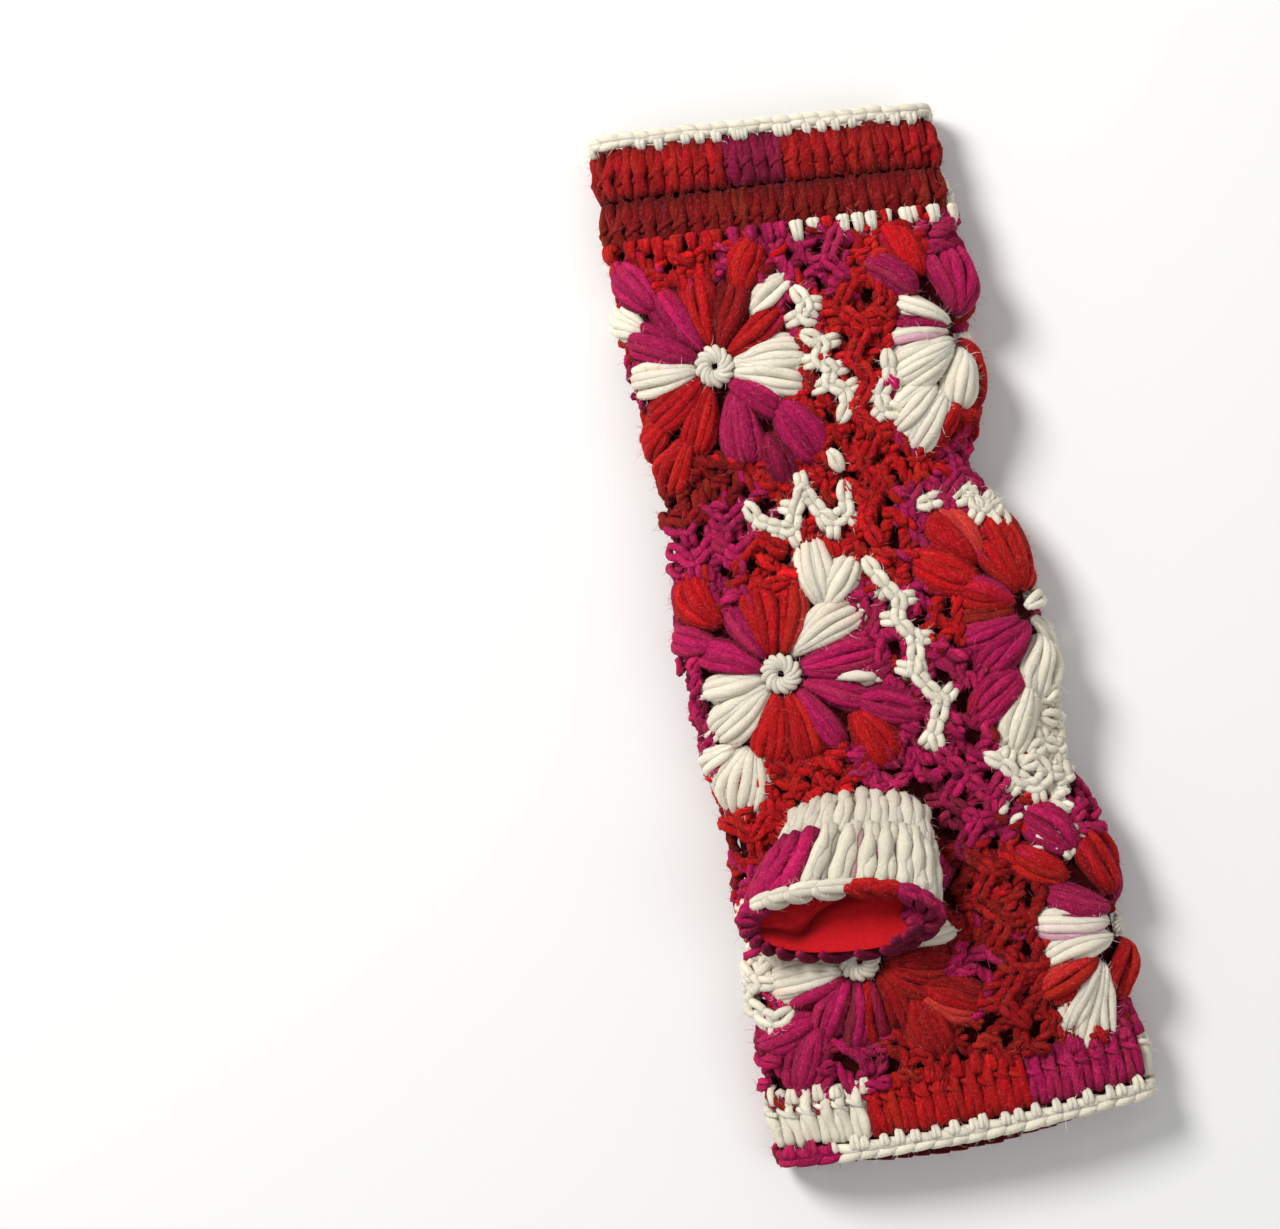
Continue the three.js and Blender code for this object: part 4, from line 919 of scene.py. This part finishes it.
# ------------------------------------------------------------------ treble rows and chain edges
def ribs(batch, surface, count, girth, v0, v1, height, colour_of, radius=1.46, lean=0.5, backing=True, shift=0.0, cross=0.6,
         spread=0.27, proud=0.0, lumps=0.05, wraps=()):
    """A row of trebles side by side round the tube: two thick strands that part at the top and half wind below."""
    n = 10
    t = np.linspace(0, 1, n)[None, :]
    u0 = (np.arange(count) + 0.5 + shift) / count * girth + rng.normal(0, 0.15, count)
    pitch = girth / count
    scale = pitch / 4.4
    mid_uvh = np.stack([u0, np.full(count, (v0 + v1) / 2), np.full(count, height)], -1)
    p_mid, _ = surface(mid_uvh)
    own = colour_of(mid_uvh, p_mid)
    ends = np.sin(np.pi * np.clip(0.05 + 0.90 * t, 0, 1)) ** 0.5
    for which in (0, 1):
        sign = 1 if which else -1
        turn = 0.97 - cross * np.exp(-((t - 0.36) / 0.20) ** 2) + rng.normal(0, 0.06, (count, 1))
        waves = rng.uniform(0, 2 * np.pi, (3, count, 1))
        lateral = sign * turn * pitch * spread + lean * (t - 0.5) + rng.normal(0, 0.13, (count, 1)) + 0.14 * np.sin(9 * t + waves[0])
        over = sign * 0.70 * np.exp(-((t - 0.36) / 0.22) ** 2)
        h = height - 0.5 + 1.7 * ends ** 0.8 + over * scale + rng.normal(0, 0.16, (count, 1)) + proud * np.exp(-(t / 0.20) ** 2)
        h = h + 0.18 * np.sin(10 * t + waves[1])
        v = v0 + (v1 - v0) * t + rng.normal(0, 0.25, (count, 1))
        uvh = np.stack([u0[:, None] + lateral + 0 * v, v, h + 0 * v], -1)
        p, nrm = surface(uvh)
        r = radius * scale * (0.80 + 0.24 * ends) * np.exp(rng.normal(0, 0.07, (count, 1))) * (1 + lumps * np.sin(13 * t + waves[2]))
        # painted shade: each treble strand is darkened towards its ends, where it dips
        painted_end_shade = np.where(own.min(-1) > 0.3, 0.10, 0.50)[:, None, None] * (1 - smooth(ends, 0.45, 0.95))[..., None]
        batch.tubes(p, r, vary(own)[:, None, :] * (1 - painted_end_shade), k=8, up=nrm[:, 0], hairs=1.0, twist=0.3)
    for at in wraps:
        q = np.linspace(-1, 1, 6)[None, :]
        tilt = rng.normal(1.0, 0.25, (count, 1))
        where = at + rng.normal(0, 0.03, (count, 1))
        uvh = np.stack([u0[:, None] + lean * (where - 0.5) + q * pitch * 0.42, v0 + (v1 - v0) * where + q * tilt * np.sign(v1 - v0),
                        height + 1.25 + radius * scale * (0.72 + 0.30 * (1 - q * q)) - 1.1 * np.abs(q) ** 3 + 0 * where], -1)
        p, nrm = surface(uvh)
        batch.tubes(p, 0.86 * scale, vary(own)[:, None, :], k=5, up=nrm[:, 0], hairs=1.0, twist=0.4)
    if backing:
        uvh = np.stack([u0[:, None] + pitch / 2 + 0 * t, v0 - 0.6 + (v1 - v0 + 1.2) * t + 0 * u0[:, None], np.full((count, n), height + 0.15)], -1)
        p, nrm = surface(uvh)
        # painted shade: the backing strands under the trebles take half the trebles' colour
        batch.tubes(p, 1.15 * scale, vary(own * 0.5)[:, None, :], k=5, up=nrm[:, 0], hairs=0.2, twist=0.3)


def chain_round(batch, surface, girth, v, pitch, width, height, lift, radius, colour_of, k=7, points=7, hairs=1.0, wave=0.0, flip=False):
    u = np.linspace(0, girth, 241)
    path = np.stack([u, v + wave * np.sin(u / 9.0)], -1)
    item = Legs(surface, colour_of)
    legs_ = stitch_legs(path, pitch, width, height, lift, points=points, jitter=0.14)
    if flip:     # the chain lies on the rim and faces along the tube
        side = legs_[..., 1] - v
        legs_ = np.stack([legs_[..., 0], v + (legs_[..., 2] - height), height + side], -1)
    item.add(legs_, radius)
    item.into(batch, k=k, hairs=hairs)


def braid(batch, surface, girth, count, v, wide, height, radius, colour_of, way=1, lift=1.3):
    """A round of nested V stitches lying along the rim."""
    t = np.linspace(0, 1, 8)[None, :]
    step = girth / count
    s0 = (np.arange(count) + rng.normal(0, 0.06, count))[:, None] * step
    for sgn in (-1, 1):
        go = s0 + way * step * (-0.35 + 1.45 * t)
        off = sgn * wide * (0.05 + 0.36 * (1 - t) ** 0.8) + rng.normal(0, 0.10, (count, 1))
        h = height + lift * np.sin(np.pi * (0.10 + 0.74 * t)) - 0.9 * smooth(t, 0.72, 1.0) + rng.normal(0, 0.12, (count, 1))
        uvh = np.stack([go, v + off, h + 0 * go], -1)
        p, nrm = surface(uvh)
        col = colour_of(uvh[:, 3], p[:, 3])
        r = radius * (0.70 + 0.38 * np.sin(np.pi * (0.10 + 0.72 * t))) * np.exp(rng.normal(0, 0.05, (count, 1)))
        batch.tubes(p, r, vary(col)[:, None, :], k=8, up=nrm[:, 0], hairs=1.0, twist=0.4)


def teeth(batch, surface, count, girth, v, down, height, radius, colour_of, skip=0.0):
    """Short loops that come down from the edge between the trebles."""
    t = np.linspace(0, 1, 6)[None, :]
    u0 = (np.arange(count) + rng.normal(0, 0.14, count)) / count * girth
    u0 = u0[rng.random(count) >= skip]
    reach = down * rng.uniform(0.55, 1.2, (len(u0), 1))
    for sgn in (-1, 1):
        uvh = np.stack([u0[:, None] + sgn * 0.62 * (1 - 0.6 * t) + rng.normal(0, 0.12, (len(u0), 1)), v - reach * t,
                        height + 0.9 * np.sin(np.pi * (0.25 + 0.6 * t)) - 1.3 * smooth(t, 0.7, 1.0) + 0 * reach], -1)
        p, nrm = surface(uvh)
        col = colour_of(uvh[:, 0], p[:, 0])
        batch.tubes(p, radius * (1 - 0.2 * t) * np.ones((len(u0), 1)), vary(col)[:, None, :], k=7, up=nrm[:, 0], hairs=1.0, twist=0.4)


def front_of(uvh):
    w = uvh[:, 0] / ROUND
    w = w - np.round(w)
    return np.abs(w) < 0.262


def by_x(bands, rear):
    """Colour by place across the front: bands are (up to this X, colour); rear is the colour of the hidden half."""
    def colour(uvh, p):
        x = p[:, 0] + rng.normal(0, 0.5, len(p))
        out = np.tile(tone(bands[-1][1]), (len(p), 1))
        for limit, code in reversed(bands):
            out[x < limit] = tone(code)
        out[~front_of(uvh)] = tone(rear)
        return out
    return colour


cuff_wrist = Batch()
# painted shade: the first row is coloured J, a near-black red, up to X 40.5, for the shade that falls on it
ribs(cuff_wrist, body, 46, ROUND, 107.6, 119.4, 1.7, by_x([(-30, "J"), (40.5, "J"), (99, "C")], "K"), lumps=0.09, wraps=(0.40,))
ribs(cuff_wrist, body, 46, ROUND, 121.0, 133.6, 1.7, by_x([(-18, "K"), (-1, "N"), (99, "K")], "M"), lumps=0.09, lean=1.1, wraps=(0.42,))
under = by_x([(-20, "R"), (-1, "M"), (8, "C"), (10.5, "R"), (22, "C"), (25, "R"), (33, "C"), (36.5, "R"), (99, "C")], "R")
teeth(cuff_wrist, body, 46, ROUND, 109.0, 4.8, 3.2, 1.30, under)
edge_wrist = Batch()
braid(edge_wrist, body, ROUND, 44, 136.3, 2.7, 2.1, 1.20, by_x([(99, "C")], "C"))
teeth(edge_wrist, body, 46, ROUND, 135.4, 2.6, 3.0, 1.05, by_x([(99, "C")], "C"), skip=0.22)

cuff_hand = Batch()
ribs(cuff_hand, body, 47, ROUND, -120.0, -133.4, 1.7, by_x([(-26.6, "C"), (16.5, "R"), (48.5, "M"), (99, "C")], "R"), radius=1.52, lumps=0.09, wraps=(0.36,))
teeth(cuff_hand, body, 50, ROUND, -122.4, -3.6, 2.9, 1.15, by_x([(-22, "C"), (30, "R"), (99, "M")], "R"), skip=0.35)
edge_hand = Batch()
braid(edge_hand, body, ROUND, 41, -137.0, 3.7, 2.2, 1.34, by_x([(-36.6, "M"), (99, "C")], "D"))
teeth(edge_hand, body, 44, ROUND, -136.0, -3.2, 3.3, 1.12, by_x([(-36.6, "M"), (99, "C")], "D"), skip=0.12)


def thumb_rows(limit, rear="M"):
    def colour(uvh, p):
        x = p[:, 0] + rng.normal(0, 0.4, len(p))
        out = np.tile(tone("C") * 0.86, (len(p), 1))
        out[x < limit] = tone("M")
        k = (uvh[:, 0] / THUMB_ROUND) % 1.0
        out[(k > 0.54) & (k < 0.985)] = tone(rear)
        return out
    return colour


def thumb_rim(uvh, p):
    x = p[:, 0]
    k = (uvh[:, 0] / THUMB_ROUND) % 1.0
    out = np.tile(tone("M"), (len(p), 1))
    upper = (k > 0.01) & (k < 0.50)
    out[upper & (x > -45) & (x < -20)] = tone("C") * 0.9
    out[upper & (x >= -20) & (x < -9)] = tone("R")
    return out


thumb_batch = Batch()
ribs(thumb_batch, thumb, 24, THUMB_ROUND, 0.6, 16.6, 1.2, thumb_rows(-34.5), radius=1.86, lean=0.2, cross=0.25, spread=0.17, proud=0.6, lumps=0.17)
ribs(thumb_batch, thumb, 24, THUMB_ROUND, 15.4, 28.8, 1.25, thumb_rows(-30.0), radius=1.88, lean=0.2, shift=0.5, cross=0.28, spread=0.17, proud=1.0, lumps=0.17)
edge_thumb = Batch()
braid(edge_thumb, thumb, THUMB_ROUND, 21, 29.9, 3.4, 1.7, 1.42, thumb_rim)
m_ = 21          # slanting loops that bind the rim, with dark gaps between them
t_ = np.linspace(0, 1, 9)[None, :]
u_ = (np.arange(m_) + 0.5)[:, None] / m_ * THUMB_ROUND + rng.normal(0, 0.2, (m_, 1))
rim = np.stack([u_ + 4.6 * (t_ - 0.5), 31.4 + 2.0 * np.sin(np.pi * t_) + 0 * u_, -1.9 + 6.0 * t_ + rng.normal(0, 0.15, (m_, 1))], -1)
p_, n_ = thumb(rim)
edge_thumb.tubes(p_, 1.50 * (0.8 + 0.25 * np.sin(np.pi * t_)) * np.ones((m_, 1)), vary(thumb_rim(rim[:, 4], p_[:, 4]))[:, None, :], k=8, up=n_[:, 0], hairs=1.0, twist=0.4)
for inner_h, m_ in ((-3.4, 8), (-5.4, 6)):      # the knit turned in at the right end of the mouth
    u_ = np.linspace(-15.0, 9.0 + inner_h, m_)[:, None] + rng.normal(0, 0.25, (m_, 1))
    rim = np.stack([u_ + 2.6 * (t_ - 0.5), 30.6 + 1.0 * np.sin(np.pi * t_) + 0.3 * inner_h + 0 * u_, inner_h + 3.4 * (t_ - 0.5) + rng.normal(0, 0.15, (m_, 1))], -1)
    p_, n_ = thumb(rim)
    # painted shade: the turned-in loops are magenta darkened to 0.85
    edge_thumb.tubes(p_, 1.35 * (0.8 + 0.25 * np.sin(np.pi * t_)) * np.ones((m_, 1)), vary(np.tile(tone("M"), (m_, 1)) * 0.85)[:, None, :], k=8, up=n_[:, 0], hairs=1.0, twist=0.4)


# ------------------------------------------------------------------ fleece
def fleece_tube(surface, girth, v_list, cols, inner, outer, seen, outer_painted_shade, ripple=0.25, droop=None, cut=None):
    """A closed tube of fleece: an outer and an inner face joined at both ends and round the opening."""
    u = np.arange(cols) / cols * girth
    g = np.stack(np.meshgrid(v_list, u, indexing="ij"), -1)
    layers = []
    for h in (outer, inner):
        wave = ripple * (np.sin(g[..., 1] * 0.35 + g[..., 0] * 0.11) + np.sin(g[..., 0] * 0.27 - g[..., 1] * 0.09))
        p, _ = surface(np.stack([g[..., 1], g[..., 0], h + wave * 0.5], -1))
        layers.append(p + droop(g[..., 1] / girth, g[..., 0]) if droop else p)
    rows = len(v_list)
    v = np.concatenate([layers[0].reshape(-1, 3), layers[1].reshape(-1, 3)])
    off = rows * cols
    i, j = np.meshgrid(np.arange(rows - 1), np.arange(cols), indexing="ij")
    j2 = (j + 1) % cols
    kept = np.ones(i.shape, bool)
    if cut:
        centre = (layers[0][i, j] + layers[0][i + 1, j2]) / 2
        kept = ~cut(centre)
    a = np.stack([i * cols + j, i * cols + j2, (i + 1) * cols + j2, (i + 1) * cols + j], -1)
    b = np.stack([off + i * cols + j, off + (i + 1) * cols + j, off + (i + 1) * cols + j2, off + i * cols + j2], -1)
    quads = [a[kept], b[kept]]

    def wall(p0, p1, which):
        p0, p1 = p0[which], p1[which]
        quads.append(np.stack([p0, off + p0, off + p1, p1], -1))
    up = np.vstack([np.zeros((1, cols), bool), kept[:-1]])
    down = np.vstack([kept[1:], np.zeros((1, cols), bool)])
    wall(a[..., 0], a[..., 1], kept & ~up)
    wall(a[..., 2], a[..., 3], kept & ~down)
    wall(a[..., 3], a[..., 0], kept & ~np.roll(kept, 1, axis=1))
    wall(a[..., 1], a[..., 2], kept & ~np.roll(kept, -1, axis=1))
    # painted shade: the outer face, under the crochet, takes the near-black colour
    col = np.concatenate([np.tile(outer_painted_shade, (off, 1)), np.tile(seen, (off, 1))])
    return v, np.concatenate(quads), col


def lip_sheet(offset):
    """The lining's upper edge rolls forward over the left of the mouth: a closed flap, thin at its ends."""
    cols, rows_ = 45, 19
    k_ = np.linspace(0.17, 0.53, cols)[None, :]
    q = np.linspace(0, 1, rows_)[:, None]
    root, _ = thumb(np.stack([k_[0] * THUMB_ROUND, np.full(cols, 30.4), np.full(cols, -0.9)], -1))
    much = (9.6 * np.exp(-((k_ - 0.350) / 0.085) ** 2) + 0.7) * (1 + 0.06 * np.sin(k_ * 60))
    way = np.array([0.20, -0.93, -0.42])
    base = root[None] + (q * much)[..., None] * way
    base = base + (1.1 * np.sin(np.pi * q * 0.75) * much / 9.2 - 2.0 * q ** 3 * much / 9.2)[..., None] * np.array([0.0, 0.0, 1.0])
    hem = 1 + 0.9 * np.exp(-((q - 0.86) / 0.13) ** 2) - 0.35 * np.exp(-((q - 0.60) / 0.10) ** 2)      # a rolled hem along its free edge
    thick = 0.72 * hem * np.sqrt(np.clip(1 - (2 * q - 1) ** 4, 0.05, 1)) * np.clip(much / 3.0, 0.4, 1)
    top, low_ = base + thick[..., None] * np.array([0, -0.2, 1.0]), base - thick[..., None] * np.array([0, -0.2, 1.0])
    v_ = np.concatenate([top.reshape(-1, 3), low_.reshape(-1, 3)])
    off = rows_ * cols
    i, j = np.meshgrid(np.arange(rows_ - 1), np.arange(cols - 1), indexing="ij")
    a_ = np.stack([i * cols + j, i * cols + j + 1, (i + 1) * cols + j + 1, (i + 1) * cols + j], -1).reshape(-1, 4)
    around = np.r_[np.arange(cols), np.arange(1, rows_) * cols + cols - 1, (rows_ - 1) * cols + np.arange(cols - 2, -1, -1), np.arange(rows_ - 2, 0, -1) * cols]
    nxt = np.roll(around, -1)
    q_ = np.concatenate([a_[:, ::-1], off + a_, np.stack([around, nxt, off + nxt, off + around], -1)]) + offset
    # painted shadow: a line just below the flap's free edge, along which the lower lining is darkened
    flap_shadow_line = (base[-1] + np.array([0.3, -0.9, 0.0]))[much[0] > 1.6][:, :2]
    return v_, q_, np.tile(linear(158, 16, 24), (len(v_), 1)), flap_shadow_line


# painted shade: the lining's outer face is near-black red (58, 6, 10) for the shade under the mesh; the inner face
# keeps the fleece's red
v, quads, col = fleece_tube(body, ROUND, np.linspace(129.5, -136.4, 90), 120, -1.6, 0.0, linear(176, 20, 30), linear(58, 6, 10),
                            cut=lambda c: (c[..., 2] > 12) & (((c[..., 0] + 14.0) / 12.6) ** 2 + ((c[..., 1] + 52.2) / 4.3) ** 2 < 1))
fleece_body = mesh_object("fleece_body", settle(v), quads, np.zeros((0, 3), int), col, v * 0.9, [fleece])
# painted shade: the thumb lining's outer face is near-black red as well
v, quads_t, col = fleece_tube(thumb, THUMB_ROUND, np.linspace(0.2, 30.6, 40), 96, -1.75, -0.15, linear(200, 26, 34), linear(58, 6, 10), 0.2)
flap, flap_quads, flap_col, flap_shadow_line = lip_sheet(len(v))
# painted shadow: the thumb lining is darkened within about 2 mm of that line, under the flap's edge
flap_shadow_distance = np.sqrt(((v[:, None, :2] - flap_shadow_line[None]) ** 2).sum(-1)).min(1)
col = col * (1 - 0.72 * np.exp(-(flap_shadow_distance / 1.7) ** 2))[:, None]
v, quads_t, col = np.concatenate([v, flap]), np.concatenate([quads_t, flap_quads]), np.concatenate([col, flap_col])
fleece_thumb = mesh_object("fleece_thumb", settle(v), quads_t, np.zeros((0, 3), int), col, v * 0.9, [fleece])
for o, replaced in ((fleece_body, "lining"), (fleece_thumb, "lining_thumb")):
    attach(o, "root")
    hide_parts(replaced)
counts.append(len(quads) * 2 + len(quads_t) * 2)

# ------------------------------------------------------------------ the pieces
for name, b_ in flower_batches.items():
    finish_batch("puffs_" + name[7:], b_, [name])
finish_batch("mesh_front", mesh_front, ["net_body"])
finish_batch("mesh_back", mesh_back, [])
finish_batch("contour_chains", contour, [])
finish_batch("join_cords", cords, [])
finish_batch("trebles_wrist", cuff_wrist, ["cuff_wrist"])
finish_batch("chain_wrist", edge_wrist, ["edge_wrist"])
finish_batch("trebles_hand", cuff_hand, ["cuff_hand"])
finish_batch("chain_hand", edge_hand, ["edge_hand"])
finish_batch("trebles_thumb", thumb_batch, ["thumb"])
finish_batch("chain_thumb", edge_thumb, ["edge_thumb"])

# loose hairs: thin curved ribbons, most of them lying along the strands and some standing off
hair_mat = plain("loose_wool", (0.8, 0.8, 0.8), 0.8)
hair_mat.node_tree.links.new(node(hair_mat.node_tree, "ShaderNodeAttribute", attribute_name="Col").outputs["Color"],
                             hair_mat.node_tree.nodes["Principled BSDF"].inputs["Base Color"])


def hair_piece(name, batches, lying, standing):
    hp, hn, ht, hc = (np.concatenate([q for b_ in batches for q in getattr(b_, key)]) for key in ("hair_p", "hair_n", "hair_t", "hair_c"))
    print(name, "hairs", len(hp))
    most = lying + standing
    pick = rng.permutation(len(hp))[:most]
    flat_on = np.arange(len(pick)) < len(pick) * lying / most
    hp, hn, ht, hc = hp[pick], hn[pick], ht[pick], hc[pick]
    m = len(pick)
    swirl = unit(rng.normal(0, 1, (m, 3)))
    way = np.where(rng.random((m, 1)) < 0.5, -1.0, 1.0)
    d = unit(np.where(flat_on[:, None], ht * way * 0.75 + hn * 0.22 + swirl * 0.60, ht * way * 0.25 + hn * 0.85 + swirl * 0.75))
    long = np.where(flat_on[:, None], np.clip(np.exp(rng.normal(0.42, 0.36, (m, 1))), 0.7, 3.0), np.clip(np.exp(rng.normal(0.80, 0.42, (m, 1))), 0.9, 5.5))
    light = rng.uniform(0.0, 0.15, (m, 1))
    col = np.clip(hc * rng.uniform(0.85, 1.55, (m, 1)) * (1 - light) + light * np.array([0.85, 0.60, 0.58]), 0, 1)
    side = unit(np.cross(d, hn) + 1e-6)
    wide = rng.uniform(0.036, 0.062, (m, 1))
    f = flat_on
    p0 = hp + hn * 0.03
    flat_v = np.stack([p0[f] - side[f] * wide[f], p0[f] + side[f] * wide[f], p0[f] + d[f] * long[f] + hn[f] * 0.05], 1)
    g = ~f
    curl = unit(np.cross(d, swirl)) * rng.uniform(0.05, 0.55, (m, 1)) * long
    q0 = hp[g] - hn[g] * 0.12
    q1 = q0 + d[g] * long[g] * 0.5 + curl[g] * 0.3
    q2 = q0 + d[g] * long[g] * 0.88 + curl[g]
    s_ = side[g] * wide[g] * 0.85
    tall_v = np.stack([q0 - s_, q0 + s_, q1 + s_ * 0.8, q1 - s_ * 0.8, q2], 1)
    nf, ng = int(f.sum()), int(g.sum())
    v = np.concatenate([flat_v.reshape(-1, 3), tall_v.reshape(-1, 3)])
    v[:, 2] = np.maximum(v[:, 2], 0.2)
    base = nf * 3 + np.arange(ng)[:, None] * 5
    quads = base + np.array([[0, 1, 2, 3]])
    tris = np.concatenate([np.arange(nf * 3).reshape(-1, 3), base + np.array([[3, 2, 4]])])
    cols_ = np.concatenate([np.repeat(col[f], 3, axis=0), np.repeat(col[g], 5, axis=0)])
    o_ = mesh_object(name, (v - ORIGIN) * MM, quads, tris, cols_, np.zeros((len(v), 3)), [hair_mat])
    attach(o_, "root")
    counts.append(nf + ng * 3)


hair_piece("loose_hairs_puffs", list(flower_batches.values()) + [cords], 53000, 21500)
hair_piece("loose_hairs_ground", [mesh_front, mesh_back, contour, cuff_wrist, edge_wrist, cuff_hand, edge_hand, thumb_batch, edge_thumb], 48000, 21000)
print("all triangles", sum(counts))

# ------------------------------------------------------------------ floor, light, camera
bpy.ops.mesh.primitive_plane_add(size=8, location=(0, 0, -0.0002))
floor = bpy.context.object
floor.name = "floor"
floor.data.materials.append(plain("floor_paper", (0.86, 0.86, 0.85), 0.9))


def area(name, place, aim, size, power, colour=(1, 1, 1)):
    light = bpy.data.lights.new(name, "AREA")
    light.shape = "DISK"
    light.size = size
    light.energy = power
    light.color = colour
    o_ = bpy.data.objects.new(name, light)
    bpy.context.scene.collection.objects.link(o_)
    o_.location = place
    from mathutils import Vector
    o_.rotation_euler = (Vector(aim) - Vector(place)).to_track_quat("-Z", "Y").to_euler()
    return o_


area("key", (-0.72, 0.88, 1.05), (0, 0, 0), 0.55, 24.0, (1.0, 0.985, 0.965))
area("fill", (0.7, -0.4, 1.5), (0, 0, 0), 1.4, 4.5, (0.97, 0.98, 1.0))
world = bpy.data.worlds.new("studio")
bpy.context.scene.world = world
world.use_nodes = True
world.node_tree.nodes["Background"].inputs[0].default_value = (1, 1, 1, 1)
world.node_tree.nodes["Background"].inputs[1].default_value = 0.36

cam_data = bpy.data.cameras.new("camera")
cam_data.lens = 100
cam_data.sensor_width = 36
cam = bpy.data.objects.new("camera", cam_data)
bpy.context.scene.collection.objects.link(cam)
turn = math.radians(-11.0)
cam.location = (-0.0606, 0.0160, 0.975)
cam.rotation_euler = (0, 0, turn)
bpy.context.scene.camera = cam
bpy.context.scene.view_settings.view_transform = "Standard"
bpy.context.scene.view_settings.look = "None"
